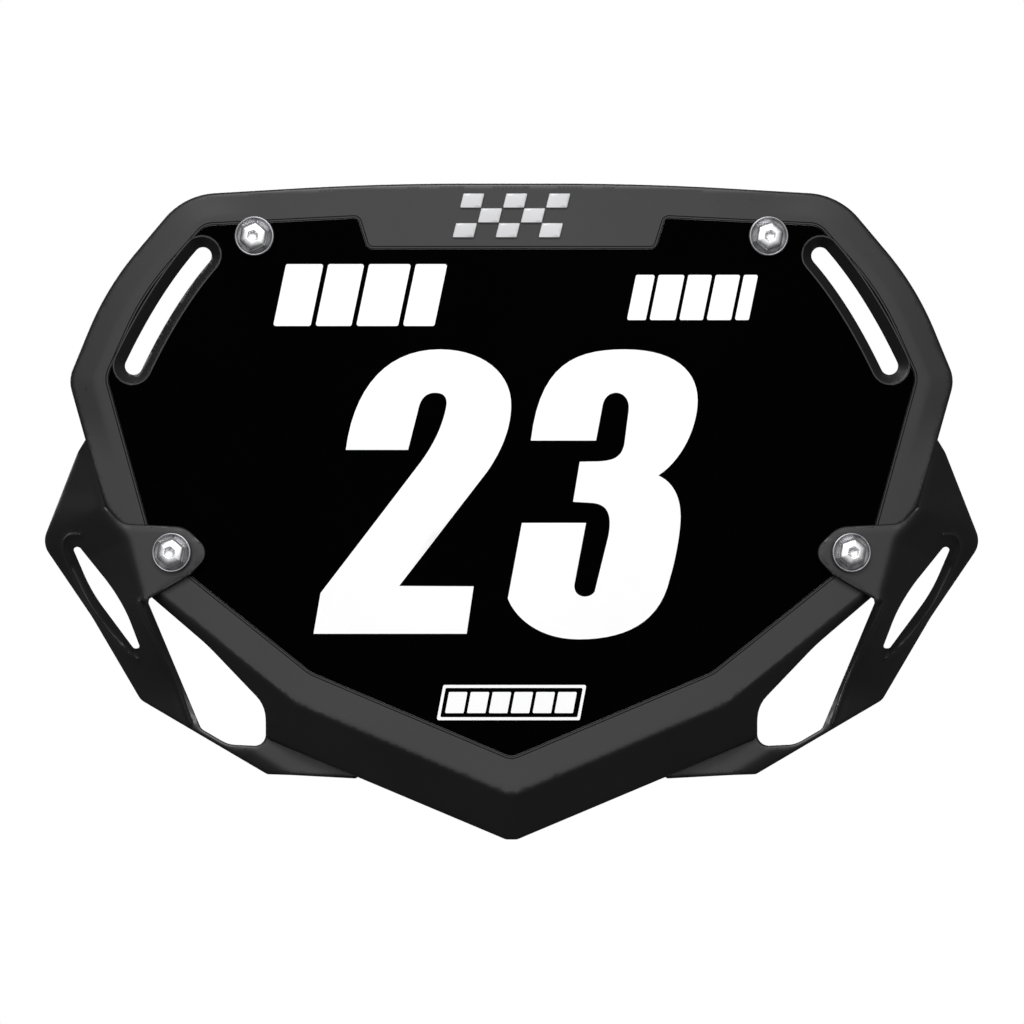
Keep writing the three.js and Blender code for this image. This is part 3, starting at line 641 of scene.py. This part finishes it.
def wing_front(p):
    """Depth of the wing's front: its base, with a bead and a sunk strip beside each opening, a fine groove
    round the tab and rounded edges."""
    z = -p[:, 1]
    outward = nearest(p, fold_line)[0]
    depth = wing_base(z, outward)
    from_rim = -nearest(p, closed(wing_rim))[0]
    from_lens = nearest(p, closed(lens))[0]
    past_lens = ramp(nearest(p, lens_middle)[0], -0.6, 0.8)
    lens_line = np.abs(nearest(p, lens_bead)[0])
    drop_side = nearest(p, drop_bead)[0]
    depth = depth - 1.2 * np.exp(-((lens_line / 0.5) ** 2)) - 1.1 * np.exp(-((drop_side / 0.5) ** 2))
    depth = depth + 0.9 * past_lens * (1 - ramp(from_lens, 1.0, 1.9))
    groove = (1 - ramp(-drop_side, 1.6, 2.4)) * ramp(-drop_side, 0.4, 0.9) * (np.abs(drop_side) < 3)
    depth = depth + 0.9 * groove * ramp(z, 64, 66) * (1 - ramp(z, 94, 98))
    tab = (outward < 0) * ramp(z, 40, 43) * (1 - ramp(z, 60, 63))
    depth = depth + 0.16 * tab * np.interp(from_rim, [0.55, 0.75, 0.95], [0, 1, 0])
    parting = (z < 39) & (np.abs(outward) < 2)
    return depth + round_over(from_rim, EDGE_RADIUS) * ~parting + round_over(from_lens, 0.5)


def wing_back(p):
    """Depth of the wing's back: the front's slope without its beads, a wall's thickness behind, and
    thicker outward of the fold."""
    outward = nearest(p, fold_line)[0]
    depth = wing_base(-p[:, 1], outward) + TAB_THICK + np.clip(0.6 * outward, 0, 1.8)
    return depth - round_over(-nearest(p, closed(wing_rim))[0], 0.6)


wing_nylon = moulded_nylon("moulded_wing_nylon", "#1d1d1e", "#202021", 0.4, 0.42)
tab_hole = circle((-lower_bolt[0], lower_bolt[1]), BOLT_HOLE_RADIUS, 20)
foot_hole = circle((-foot_screw[0], foot_screw[1]), 1.9, 16)
wing_loops = [wing_rim, lens, tab_hole, foot_hole]
wing_creases = [
    *edge_rings(wing_rim, EDGE_RADIUS),
    *edge_rings(lens[::-1], 0.5),
    *[beside(line, d) for line in (lens_bead, drop_bead) for d in (-0.8, -0.45, -0.2, 0, 0.2, 0.45, 0.8)],
    *[beside(drop_bead, d) for d in (-1.2, -1.7)],
]
points, faces = plate_solid(wing_loops, wing_front, wing_back, wing_creases, spacing=0.95, wall_rows=4)
for side, sign in (("left", 1), ("right", -1)):
    piece(
        "side_wing_moulding_" + side,
        points * [sign, 1, 1],
        faces[:, ::sign],
        wing_nylon,
        PLATE_BODY,
        "wing_plastic",
        ["side_wing_" + side],
    )

# ---- Number panel and background film ----
# The panel is a 1.5 mm sheet of polycarbonate, bent to the bow of the tray and held by the bolts. The
# number side is covered by one sheet of black vinyl film, cut a little smaller than the panel.


def level(depth):
    """A depth function that is the same everywhere."""

    def same(p):
        return np.full(len(p), float(depth))

    return same


def sheet_loops(edge_gap):
    """Outline of a sheet in the window, cut out round the vents' rims, with holes for the upper bolts and
    for the bosses under the lower ones."""
    rims = [anticlockwise(offset(r, -0.15)) for r in (vent_rim, flip_x(vent_rim))]
    cuts = ((upper_bolt, BOLT_HOLE_RADIUS), (lower_bolt, 5.6))
    holes = [circle((s * x, z), radius, 32) for (x, z), radius in cuts for s in (-1, 1)]
    return [offset(window, edge_gap), *rims, *holes]


def vinyl_film(name, dark, light, cloud_mm, low_rough, high_rough, specular):
    """Calendered vinyl film stuck down by hand: one even colour with wide faint clouds, and a slight orange
    peel of about 2 mm in its surface."""
    material = bpy.data.materials.new(name)
    material.use_nodes = True
    tree = material.node_tree
    shader = tree.nodes["Principled BSDF"]
    place = add_node(tree, "ShaderNodeTexCoord").outputs["Object"]
    peel_look = {"Vector": place, "Scale": 1 / (2.2 * MM), "Detail": 2.0}
    peel = add_node(tree, "ShaderNodeTexNoise", peel_look).outputs["Fac"]
    cloud_look = {"Vector": place, "Scale": 1 / (cloud_mm * MM), "Detail": 3.0}
    cloud = add_node(tree, "ShaderNodeTexNoise", cloud_look).outputs["Fac"]
    tint = add_node(tree, "ShaderNodeMix", {0: cloud, 6: linear(dark), 7: linear(light)}, data_type="RGBA")
    rough = add_node(tree, "ShaderNodeMapRange", {0: cloud, "To Min": low_rough, "To Max": high_rough})
    bump = add_node(tree, "ShaderNodeBump", {"Height": peel, "Strength": 0.12, "Distance": 0.02 * MM})
    tree.links.new(tint.outputs[2], shader.inputs["Base Color"])
    tree.links.new(rough.outputs[0], shader.inputs["Roughness"])
    tree.links.new(bump.outputs[0], shader.inputs["Normal"])
    shader.inputs["Specular IOR Level"].default_value = specular
    return material


# Extruded polycarbonate is smooth and clear; the film on its face leaves it looking like dark glass.
polycarbonate = bpy.data.materials.new("smoked_polycarbonate")
polycarbonate.use_nodes = True
tree = polycarbonate.node_tree
shader = tree.nodes["Principled BSDF"]
place = add_node(tree, "ShaderNodeTexCoord").outputs["Object"]
haze_look = {"Vector": place, "Scale": 1 / (6 * MM), "Detail": 5.0}
haze = add_node(tree, "ShaderNodeTexNoise", haze_look).outputs["Fac"]
smoke = {0: haze, 6: linear("#3a3d40"), 7: linear("#4c5054")}
tint = add_node(tree, "ShaderNodeMix", smoke, data_type="RGBA")
rough = add_node(tree, "ShaderNodeMapRange", {0: haze, "To Min": 0.05, "To Max": 0.2})
tree.links.new(tint.outputs[2], shader.inputs["Base Color"])
tree.links.new(rough.outputs[0], shader.inputs["Roughness"])
shader.inputs["Transmission Weight"].default_value = 0.6
shader.inputs["IOR"].default_value = 1.585

black_film = vinyl_film("black_vinyl_film", "#000000", "#020202", 40, 0.5, 0.62, 0.005)
points, faces = plate_solid(sheet_loops(0.12), level(1.0), level(2.5), spacing=4, wall_rows=2)
piece("number_panel_sheet", points, faces, polycarbonate, PLATE_BODY, "panel_plastic", ["number_panel"])
points, faces = plate_solid(sheet_loops(0.25), level(0.75), level(0.95), spacing=4, wall_rows=1)
piece("background_film", points, faces, black_film, PLATE_BODY, "black_film", ["background_decal"])

# ---- Numerals and printed marks ----
# Two slanted race numerals and three small plain marks, each cut from white vinyl film 0.2 mm thick and
# stuck to the black film. The marks are blocks and bars that stand for a rider's name and for sponsors.
FILM_FRONT, FILM_BACK = 0.5, 0.7


def drawn(start, *strokes):
    """Closed outline from a start point and strokes: one point is a straight line, two are a quadratic
    and three a cubic Bezier curve, each from where the last one ended."""
    t = (np.arange(1, 15) / 14)[:, None]
    runs = [np.array([start], float)]
    for stroke in strokes:
        at = runs[-1][-1]
        p = np.array(stroke, float)
        if len(p) == 1:
            runs.append(p)
        elif len(p) == 2:
            runs.append(at * (1 - t) ** 2 + 2 * p[0] * t * (1 - t) + p[1] * t**2)
        else:
            ends = at * (1 - t) ** 3 + p[2] * t**3
            runs.append(ends + 3 * p[0] * t * (1 - t) ** 2 + 3 * p[1] * t**2 * (1 - t))
    return anticlockwise(np.concatenate(runs))


two = drawn(
    (-44.7, -23.7),
    [(-42.4, -6), (-33, 3.4), (-19.4, 3.4)],
    [(-7.5, 3.4), (0, -3.2), (-0.1, -11.6)],
    [(-0.1, -18.5), (-3.2, -24.7), (-6.5, -29.5)],
    [(-30.3, -60.4)],
    [(-10.2, -60.5)],
    [(-12.1, -73.3)],
    [(-53.4, -73.3)],
    [(-51.5, -62.3)],
    [(-24.5, -27)],
    [(-19, -19.5), (-17.6, -12)],
    [(-17, -8.3), (-20.6, -8.3)],
    [(-24.3, -8.3), (-25.2, -13)],
    [(-27.9, -23.7)],
)
three = drawn(
    (5.2, -21.2),
    [(7.6, -0.5), (17, 3.4), (30.6, 3.4)],
    [(44, 3.4), (50.2, -2.4), (50.2, -10.3)],
    [(50.2, -17.5), (46, -26.5), (39.6, -30.6)],
    [(43.6, -32.4), (45.6, -36.4), (45.6, -41.7)],
    [(45.6, -46), (44.2, -53.5), (42.7, -58.4)],
    [(40, -70.5), (30.5, -74.8), (18.1, -74.8)],
    [(7, -74.8), (0.8, -68.6), (-1, -63.8)],
    [(2.8, -43.4)],
    [(20.1, -43.4)],
    [(17, -59.8)],
    [(16.4, -63.6), (20.8, -64.2), (22.4, -62)],
    [(26.1, -47)],
    [(27.6, -39.4), (24.5, -38.2), (21.5, -38)],
    [(16.6, -37.7)],
    [(18.4, -26.9)],
    [(23.5, -26.8)],
    [(28, -26.6), (29.6, -25.4), (30.4, -22.3)],
    [(31.6, -13)],
    [(32.2, -7.4), (25.6, -6.6), (24.6, -11.6)],
    [(22.8, -21.2)],
)


def slanted(x0, z0, x1, z1, low, high, lean, radius):
    """A block with upright ends leaning to the right; lean is the shift from low to high."""
    a, b = (z0 - low) / (high - low) * lean, (z1 - low) / (high - low) * lean
    corners = [(x0 + a, z0), (x1 + a, z0), (x1 + b, z1), (x0 + b, z1)]
    return rounded([(x, z, radius) for x, z in corners], 3)


def joined(solids):
    """Several solids as one mesh."""
    starts = np.cumsum([0] + [len(p) for p, _ in solids[:-1]])
    faces = [f + start for (_, f), start in zip(solids, starts)]
    return np.concatenate([p for p, _ in solids]), np.concatenate(faces)


def film_block(loops):
    """A flat piece of the white film, inside the first loop and outside the others."""
    return plate_solid(loops, level(FILM_FRONT), level(FILM_BACK), spacing=3, wall_rows=1)


white_film = vinyl_film("white_printed_vinyl", "#f6f6f6", "#fdfdfd", 30, 0.3, 0.42, 0.3)
NAME_LOW, NAME_HIGH = 9.7, 26.4
SIDE_LOW, SIDE_HIGH = 11.3, 23.5
FOOT_LOW, FOOT_HIGH, FOOT_LEAN = -96.6, -87.1, 1.8
STRIP_LINE = 0.8
name_blocks = [
    film_block([slanted(x0, NAME_LOW, x1, NAME_HIGH, NAME_LOW, NAME_HIGH, 3.5, 0.6)])
    for x0, x1 in ((-64.3, -54.2), (-52.9, -43.2), (-41.9, -30.6), (-29.3, -20.8))
]
side_blocks = [
    film_block([slanted(x0, SIDE_LOW, x1, SIDE_HIGH, SIDE_LOW, SIDE_HIGH, 2.5, 0.5)])
    for x0, x1 in ((31.1, 36.2), (37.2, 44.2), (45.2, 51.6), (52.6, 59.2), (60.2, 64.0))
]
strip = [
    slanted(-20.2 + t, FOOT_LOW + t, 18.4 - t, FOOT_HIGH - t, FOOT_LOW, FOOT_HIGH, FOOT_LEAN, radius)
    for t, radius in ((0, 0.5), (STRIP_LINE, 0.4))
]
foot_blocks = [film_block(strip)]
for x0 in (-18.3, -12.4, -6.5, -0.6, 5.3, 11.2):
    bar = slanted(x0, FOOT_LOW + 1.9, x0 + 5.0, FOOT_HIGH - 1.9, FOOT_LOW, FOOT_HIGH, FOOT_LEAN, 0.3)
    foot_blocks.append(film_block([bar]))
for name, solid, node in (
    ("numeral_two_film", film_block([two]), "numeral_2"),
    ("numeral_three_film", film_block([three]), "numeral_3"),
    ("name_marks", joined(name_blocks), "name_decal"),
    ("side_marks", joined(side_blocks), "side_decal"),
    ("foot_marks", joined(foot_blocks), "foot_decal"),
):
    piece(name, *solid, white_film, PLATE_BODY, "white_film", [node])

# ---- Raised badge ----
# A plain chequer in light grey plastic. It is moulded as small slanted squares that stand 1 mm proud, and
# bonded to the tab at the top of the band.
BADGE_LEFT, BADGE_LOW = -16, 33.5
BADGE_ROWS, BADGE_COLUMNS = 3, 5
CELL_WIDE, CELL_HIGH, CELL_GAP, CELL_EDGE = 5.8, 4, 0.05, 0.35


def badge_cell(x, z):
    """One square of the chequer, its edge rounded over, standing 1 mm out of the band."""
    x0, z0, x1, z1 = x + CELL_GAP, z + CELL_GAP, x + CELL_WIDE - CELL_GAP, z + CELL_HIGH - CELL_GAP
    loop = slanted(x0, z0, x1, z1, BADGE_LOW, BADGE_LOW + BADGE_ROWS * CELL_HIGH, 3.0, 0.3)

    def front(p):
        return round_over(-nearest(p, closed(loop))[0], CELL_EDGE) - 1.0

    return plate_solid([loop], front, level(0.05), edge_rings(loop, CELL_EDGE), 1.2, 2)


badge_cells = [
    badge_cell(BADGE_LEFT + CELL_WIDE * column, BADGE_LOW + CELL_HIGH * row)
    for row in range(BADGE_ROWS)
    for column in range(BADGE_COLUMNS)
    if (row + column) % 2 == 0
]
badge_plastic = moulded_nylon("badge_plastic", "#c4c4c6", "#cfcfd1", 0.3, 0.3)
piece("raised_chequer", *joined(badge_cells), badge_plastic, PLATE_BODY, "badge", ["top_badge"])

# ---- Bolts, washers and inserts ----
# Each corner has a zinc-plated M4 bolt with a low rounded head and a hexagon socket, on a dished washer,
# in a grooved brass insert moulded into the frame. Upper bolts clamp the panel, lower ones the wings too.


def turned(stations, sides=72, ring_shaped=False):
    """Surface of revolution about the outward axis. Each station is (radius, height, hexness): the
    radius is scaled by 1 - hexness + hexness cos 30 / cos(angle from the middle of the hexagon's side)."""
    st = np.array(stations, float)
    phi = 2 * math.pi * np.arange(sides) / sides
    hexagon = math.cos(math.pi / 6) / np.cos((phi - 0.17) % (math.pi / 3) - math.pi / 6)
    radius = st[:, 0, None] * (1 - st[:, 2, None] + st[:, 2, None] * hexagon)
    height = np.broadcast_to(st[:, 1, None], radius.shape)
    points = np.stack([radius * np.sin(phi), height, radius * np.cos(phi)], 2).reshape(-1, 3)
    rows = np.arange(len(points)).reshape(len(st), sides)
    rows = np.concatenate([rows, rows[:1]]) if ring_shaped else rows
    one, two = rows[:-1], rows[1:]
    quads = np.stack([one, np.roll(one, -1, 1), np.roll(two, -1, 1), two], 2).reshape(-1, 4)
    faces = np.concatenate([quads[:, [0, 1, 2]], quads[:, [0, 2, 3]]])
    if not ring_shaped:
        poles = np.array([[0, st[0, 1], 0], [0, st[-1, 1], 0]])
        count = len(points)
        points = np.concatenate([points, poles])
        foot, top = rows[0], rows[-1]
        low = np.stack([np.roll(foot, -1), foot, np.full(sides, count)], 1)
        high = np.stack([top, np.roll(top, -1), np.full(sides, count + 1)], 1)
        faces = np.concatenate([faces, low, high])
    return points, faces


def stood(points, x, z, depth):
    """Turned points stood on the plate at (x, z): their height points out along the bow's normal, and
    height 0 lies at the given depth."""
    angle = math.atan(x / BOW_RADIUS)
    across, back, up = points[:, 0], depth * math.cos(angle) - points[:, 1], points[:, 2]
    return np.stack(
        [
            x + across * math.cos(angle) - back * math.sin(angle),
            FRONT_Y + bow(x) + across * math.sin(angle) + back * math.cos(angle),
            z + up,
        ],
        1,
    )


def plated_metal(name, dark, light, low_rough, high_rough):
    """Turned metal, bare or zinc plated: bright and slightly clouded, over a fine unevenness of 0.2 mm."""
    material = bpy.data.materials.new(name)
    material.use_nodes = True
    tree = material.node_tree
    shader = tree.nodes["Principled BSDF"]
    place = add_node(tree, "ShaderNodeTexCoord").outputs["Object"]
    cloud_look = {"Vector": place, "Scale": 1 / (1.6 * MM), "Detail": 4.0}
    cloud = add_node(tree, "ShaderNodeTexNoise", cloud_look).outputs["Fac"]
    fine_look = {"Vector": place, "Scale": 1 / (0.18 * MM), "Detail": 3.0}
    fine = add_node(tree, "ShaderNodeTexNoise", fine_look).outputs["Fac"]
    tint = add_node(tree, "ShaderNodeMix", {0: cloud, 6: linear(dark), 7: linear(light)}, data_type="RGBA")
    shine = {0: cloud, "From Min": 0.3, "From Max": 0.7, "To Min": low_rough, "To Max": high_rough}
    rough = add_node(tree, "ShaderNodeMapRange", shine)
    bump = add_node(tree, "ShaderNodeBump", {"Height": fine, "Strength": 0.15, "Distance": 0.02 * MM})
    tree.links.new(tint.outputs[2], shader.inputs["Base Color"])
    tree.links.new(rough.outputs[0], shader.inputs["Roughness"])
    tree.links.new(bump.outputs[0], shader.inputs["Normal"])
    shader.inputs["Metallic"].default_value = 1.0
    return material


zinc = plated_metal("zinc_plated_steel", "#e4e4e6", "#f6f6f7", 0.36, 0.5)
dull_zinc = plated_metal("dull_zinc_plate", "#8c8c8f", "#a4a4a7", 0.36, 0.5)
brass = plated_metal("turned_brass", "#a07f3c", "#c29f55", 0.25, 0.4)
bolt_stations = [
    (1.2, -11.0, 0),
    (1.6, -10.95, 0),
    (2.0, -10.5, 0),
    (2.0, -0.82, 0),
    (3.4, -0.8, 0.3),
    (3.75, -0.76, 0.7),
    (3.85, -0.68, 0.8),
    (4.0, 0.6, 0.8),
    (3.98, 1.0, 0.8),
    (3.84, 1.4, 0.75),
    (3.55, 1.72, 0.7),
    (3.1, 1.93, 0.6),
    (2.5, 2.08, 0.5),
    (1.85, 2.17, 0.8),
    (1.66, 2.18, 1),
    (1.55, 2.12, 1),
    (1.45, 1.95, 1),
    (1.43, 0.9, 1),
    (1.2, 0.76, 1),
    (0.5, 0.62, 1),
]
thread = [(2.0 - 0.14 * (k % 2), -10.4 + 0.35 * k, 0) for k in range(24)]
bolt_stations = bolt_stations[:3] + thread + bolt_stations[3:]
washer_stations = [
    (2.35, 0.0, 0),
    (5.1, 0.0, 0),
    (5.34, 0.12, 0),
    (5.4, 0.4, 0),
    (5.4, 0.85, 0),
    (5.33, 1.06, 0),
    (5.18, 1.16, 0),
    (4.98, 1.18, 0),
    (4.84, 1.1, 0),
    (4.72, 0.96, 0),
    (4.3, 0.78, 0),
    (3.8, 0.66, 0),
    (3.0, 0.6, 0),
    (2.35, 0.6, 0),
]
insert_stations = [(2.3, -6.0, 0), (2.9, -6.0, 0), (3.1, -5.85, 0)]
for k in range(5):
    low = -5.6 + 1.1 * k
    insert_stations += [(3.2, low, 0), (3.2, low + 0.62, 0), (2.95, low + 0.7, 0), (2.95, low + 0.95, 0)]
insert_stations += [(3.1, -0.1, 0), (2.95, 0.0, 0), (2.5, 0.0, 0), (2.3, -0.2, 0)]
for height, (x, z), seat in (("upper", upper_bolt, 0.0), ("lower", lower_bolt, TAB_FRONT)):
    for side, sign in (("left", -1), ("right", 1)):
        name = height + "_" + side
        for kind, stations, pierced, depth, metal, slot_name, body in (
            ("washer", washer_stations, True, seat - 0.3, dull_zinc, "steel", "washer_" + name),
            ("bolt", bolt_stations, False, seat - 1.8, zinc, "steel", "bolt_" + name),
            ("insert", insert_stations, True, 4.1, brass, "insert_brass", PLATE_BODY),
        ):
            local, faces = turned(stations, ring_shaped=pierced)
            points = stood(local, sign * x, z, depth)
            piece("turned_" + kind + "_" + name, points, faces, metal, body, slot_name, [kind + "_" + name])

# ---- Wing screws ----
# A small zinc-plated self-tapping screw, with a low round head, enters the back of the chin through each
# wing's foot.
screw_stations = [(0.3, -8.0, 0), (0.9, -7.3, 0)]
for k in range(12):
    low = -7.0 + 0.56 * k
    screw_stations += [(1.0, low, 0), (1.3, low + 0.2, 0), (1.3, low + 0.3, 0), (1.0, low + 0.5, 0)]
screw_stations += [
    (1.3, 0.0, 0),
    (2.85, 0.0, 0),
    (3.0, 0.15, 0),
    (2.98, 0.5, 0),
    (2.75, 1.1, 0),
    (2.3, 1.55, 0),
    (1.7, 1.82, 0),
    (1.1, 1.88, 1),
    (1.0, 1.8, 1),
    (0.95, 0.9, 1),
    (0.4, 0.75, 1),
]
for side, sign in (("left", -1), ("right", 1)):
    local, faces = turned(screw_stations, 48)
    points = stood(local * [1, -1, 1], sign * foot_screw[0], foot_screw[1], LEDGE_DEPTH + TAB_THICK + 0.05)
    piece("turned_screw_" + side, points, faces[:, ::-1], zinc, PLATE_BODY, "steel", ["wing_screw_" + side])

# ---- Bar pads ----
# Two soft moulded rubber blocks stand on the tray's back and saddle the crossbar, which the straps pull
# them against. Shallow grooves along the bar give them grip.
BAR_RADIUS = 11.1
PAD_HALF = 11.0


def pad_back(p):
    """Depth of the saddle: a cylinder 0.3 mm larger than the bar, flat at its lips, grooved along X."""
    x, z = p[:, 0], p[:, 1]
    reach = np.minimum(np.abs(z), 9.7)
    groove = 0.35 * np.clip(2.2 * np.cos(2 * math.pi * z / 2.4) - 1.4, 0, 0.8) / 0.8 * (np.abs(z) < 9.2)
    y = -np.sqrt((BAR_RADIUS + 0.3) ** 2 - reach**2) - groove
    edge = np.maximum(np.abs(np.abs(x) - strap_x), np.abs(z))
    return y - FRONT_Y - bow(x) - round_over(PAD_HALF - edge, 0.6)


rubber = moulded_nylon("pad_rubber", "#151516", "#1b1b1c", 0.6, 0.68)
for side, sign in (("left", -1), ("right", 1)):
    middle = sign * strap_x
    pad_rim = rounded(block(middle, 0, PAD_HALF, PAD_HALF, 2), 0.8)
    rows = [
        np.stack([np.linspace(middle - 10.9, middle + 10.9, 24), np.full(24, z)], 1)
        for z in np.arange(-9.6, 9.61, 0.3)
    ]
    points, faces = plate_solid([pad_rim], level(WALL_DEPTH + 0.3), pad_back, rows, 1.0, 4)
    piece("rubber_pad_" + side, points, faces, rubber, PLATE_BODY, "pad_rubber", ["bar_pad_" + side])

# ---- Straps ----
# A band of black webbing on each side runs through two slots in the tray and round the bar, and closes
# on itself with hook-and-loop. Its free end lies on top as a tail that can be peeled up.


def strap_section(half_width, half_thick):
    """Outline across the webbing, (across, out): thinner in the middle, with round selvedges."""
    flat = np.linspace(-1, 1, 17) * (half_width - half_thick)
    thick = half_thick * (0.86 + 0.14 * (np.abs(flat) > half_width - 2.2))
    a = np.linspace(90, -90, 7)[1:-1]
    arc = np.stack([np.cos(np.radians(a)), np.sin(np.radians(a))], 1) * half_thick
    right = arc + [half_width - half_thick, 0]
    left = -right
    return np.concatenate([np.stack([flat, thick], 1), right, np.stack([flat, -thick], 1)[::-1], left])


def swept(path, sections, x0, looped):
    """A strap: every section stands across the (y, z) path at its own station. Also gives each point's
    place over the surface, across and along, in millimetres."""
    ahead, behind = (np.roll(path, -1, 0), np.roll(path, 1, 0)) if looped else (path, path)
    along = unit(ahead - behind) if looped else unit(np.gradient(path, axis=0))
    out = np.stack([along[:, 1], -along[:, 0]], 1)
    step = np.linalg.norm(np.diff(path, axis=0), axis=1)
    travelled = np.concatenate([[0], np.cumsum(step)])
    yz = path[:, None, :] + out[:, None, :] * sections[..., 1:2]
    points = np.concatenate([x0 + sections[..., 0:1], yz], 2)
    spread = np.stack([sections[..., 0], np.broadcast_to(travelled[:, None], sections.shape[:2])], 2)
    n, m = sections.shape[:2]
    rows = np.arange(n * m).reshape(n, m)
    one, two = (rows, np.roll(rows, -1, 0)) if looped else (rows[:-1], rows[1:])
    quads = np.stack([one, two, np.roll(two, -1, 1), np.roll(one, -1, 1)], 2).reshape(-1, 4)
    faces = [quads[:, [0, 1, 2]], quads[:, [0, 2, 3]]]
    if not looped:
        for end, turn in ((rows[0], 1), (rows[-1], -1)):
            fan = np.stack([np.full(m - 2, end[0]), end[1:-1], end[2:]], 1)
            faces.append(fan[:, ::turn])
    return points.reshape(-1, 3), np.concatenate(faces), spread.reshape(-1, 2)


def outward(points, faces):
    """The faces, all turned round if the volume they enclose comes out negative."""
    a, b, c = points[faces[:, 0]], points[faces[:, 1]], points[faces[:, 2]]
    return faces if (a * np.cross(b, c)).sum() > 0 else faces[:, ::-1]


def arc_points(centre, radius, start, stop, count):
    """Points of a circle's arc between two angles in degrees."""
    a = np.radians(np.linspace(start, stop, count))
    return np.array(centre) + radius * np.stack([np.cos(a), np.sin(a)], 1)


def woven(name, hooked):
    """Polyester webbing drawn over the surface's own millimetres: slanted yarns 1.1 mm apart, crossed by
    a finer weft, or short stiff hooks in rows where the hooked side shows."""
    material = bpy.data.materials.new(name)
    material.use_nodes = True
    tree = material.node_tree
    shader = tree.nodes["Principled BSDF"]
    spread = add_node(tree, "ShaderNodeUVMap", uv_map="surface_mm").outputs[0]
    yarn_look = {"Vector": spread, "Scale": 0.29, "Distortion": 0.6, "Detail": 2.0}
    yarn = add_node(tree, "ShaderNodeTexWave", yarn_look, bands_direction="DIAGONAL").outputs["Fac"]
    weft_look = {"Vector": spread, "Scale": 0.55, "Distortion": 0.4}
    weft = add_node(tree, "ShaderNodeTexWave", weft_look, bands_direction="Y").outputs["Fac"]
    fluff_look = {"Vector": spread, "Scale": 3.2, "Detail": 6.0}
    fluff = add_node(tree, "ShaderNodeTexNoise", fluff_look).outputs["Fac"]
    height = add_node(tree, "ShaderNodeMath", {0: yarn, 1: weft}, operation="ADD").outputs[0]
    if hooked:
        hook_look = {"Vector": spread, "Scale": 0.9, "Randomness": 0.35}
        hooks = add_node(tree, "ShaderNodeTexVoronoi", hook_look).outputs["Distance"]
        hook_height = {0: hooks, "From Min": 0.15, "From Max": 0.5, "To Min": 1.6, "To Max": 0.0}
        height = add_node(tree, "ShaderNodeMapRange", hook_height).outputs[0]
    mixed = add_node(tree, "ShaderNodeMath", {0: height, 1: fluff}, operation="ADD").outputs[0]
    # The colour is partly painted shade and light: the webbing is painted darker where the weave or the
    # hooked side lies low and lighter on the raised yarns and hooks, and the fluff adds random tone.
    tone = add_node(tree, "ShaderNodeMapRange", {0: mixed, "From Min": 0.4, "From Max": 2.2}).outputs[0]
    painted_shade_and_fluff = {0: tone, 6: linear("#08080a"), 7: linear("#242428")}
    tint = add_node(tree, "ShaderNodeMix", painted_shade_and_fluff, data_type="RGBA")
    bump = add_node(tree, "ShaderNodeBump", {"Height": mixed, "Strength": 0.7, "Distance": 0.15 * MM})
    rough = add_node(tree, "ShaderNodeMapRange", {0: fluff, "To Min": 0.7, "To Max": 0.9})
    tree.links.new(tint.outputs[2], shader.inputs["Base Color"])
    tree.links.new(rough.outputs[0], shader.inputs["Roughness"])
    tree.links.new(bump.outputs[0], shader.inputs["Normal"])
    shader.inputs["Sheen Weight"].default_value = 0.25
    return material


webbing = woven("black_webbing", False)
hook_tape = woven("hook_tape", True)
STRAP_BEND = 1.5
TAIL_LENGTH, TAIL_HALF, TAIL_CORNER, TAIL_STEPS = 19.0, 7.5, 3.0, 60
front_run = FRONT_Y + bow(strap_x) + 4.45
turn_y, turn_z = front_run + STRAP_BEND, strap_leg_z - STRAP_BEND
strap_line = np.concatenate(
    [
        np.linspace((turn_y, -strap_leg_z), (0, -strap_leg_z), 30)[:-1],
        arc_points((0, 0), strap_leg_z, -90, 90, 49)[:-1],
        np.linspace((0, strap_leg_z), (turn_y, strap_leg_z), 30)[:-1],
        arc_points((turn_y, turn_z), STRAP_BEND, 90, 180, 8)[:-1],
        np.linspace((front_run, turn_z), (front_run, -turn_z), 24)[:-1],
        arc_points((turn_y, -turn_z), STRAP_BEND, 180, 270, 8)[:-1],
    ]
)
# The tail narrows over its corners' radius at each end: w - r + sqrt(r^2 - (r - distance to the end)^2).
tail_line = np.linspace((2.0, 14.15), (2.0 - TAIL_LENGTH, 14.15), TAIL_STEPS)
to_end = np.minimum(tail_line[0, 0] - tail_line[:, 0], tail_line[:, 0] - tail_line[-1, 0])
inset = np.clip(TAIL_CORNER - to_end, 0, TAIL_CORNER)
tail_width = TAIL_HALF - TAIL_CORNER + np.sqrt(TAIL_CORNER**2 - inset**2)
for side, sign in (("left", -1), ("right", 1)):
    section = strap_section(8.0, 0.75)
    section = np.broadcast_to(section, (len(strap_line), *section.shape))
    points, faces, spread = swept(strap_line, section, sign * strap_x, True)
    piece(
        "webbing_strap_" + side,
        points,
        outward(points, faces),
        webbing,
        PLATE_BODY,
        "webbing",
        ["strap_" + side],
        uv=spread,
    )
    section = np.stack([strap_section(width, 0.7) for width in tail_width])
    points, faces, spread = swept(tail_line, section, sign * strap_x, False)
    piece(
        "webbing_tail_" + side,
        points,
        outward(points, faces),
        hook_tape,
        "strap_tail_" + side,
        "webbing",
        ["strap_tail_" + side],
        uv=spread,
    )
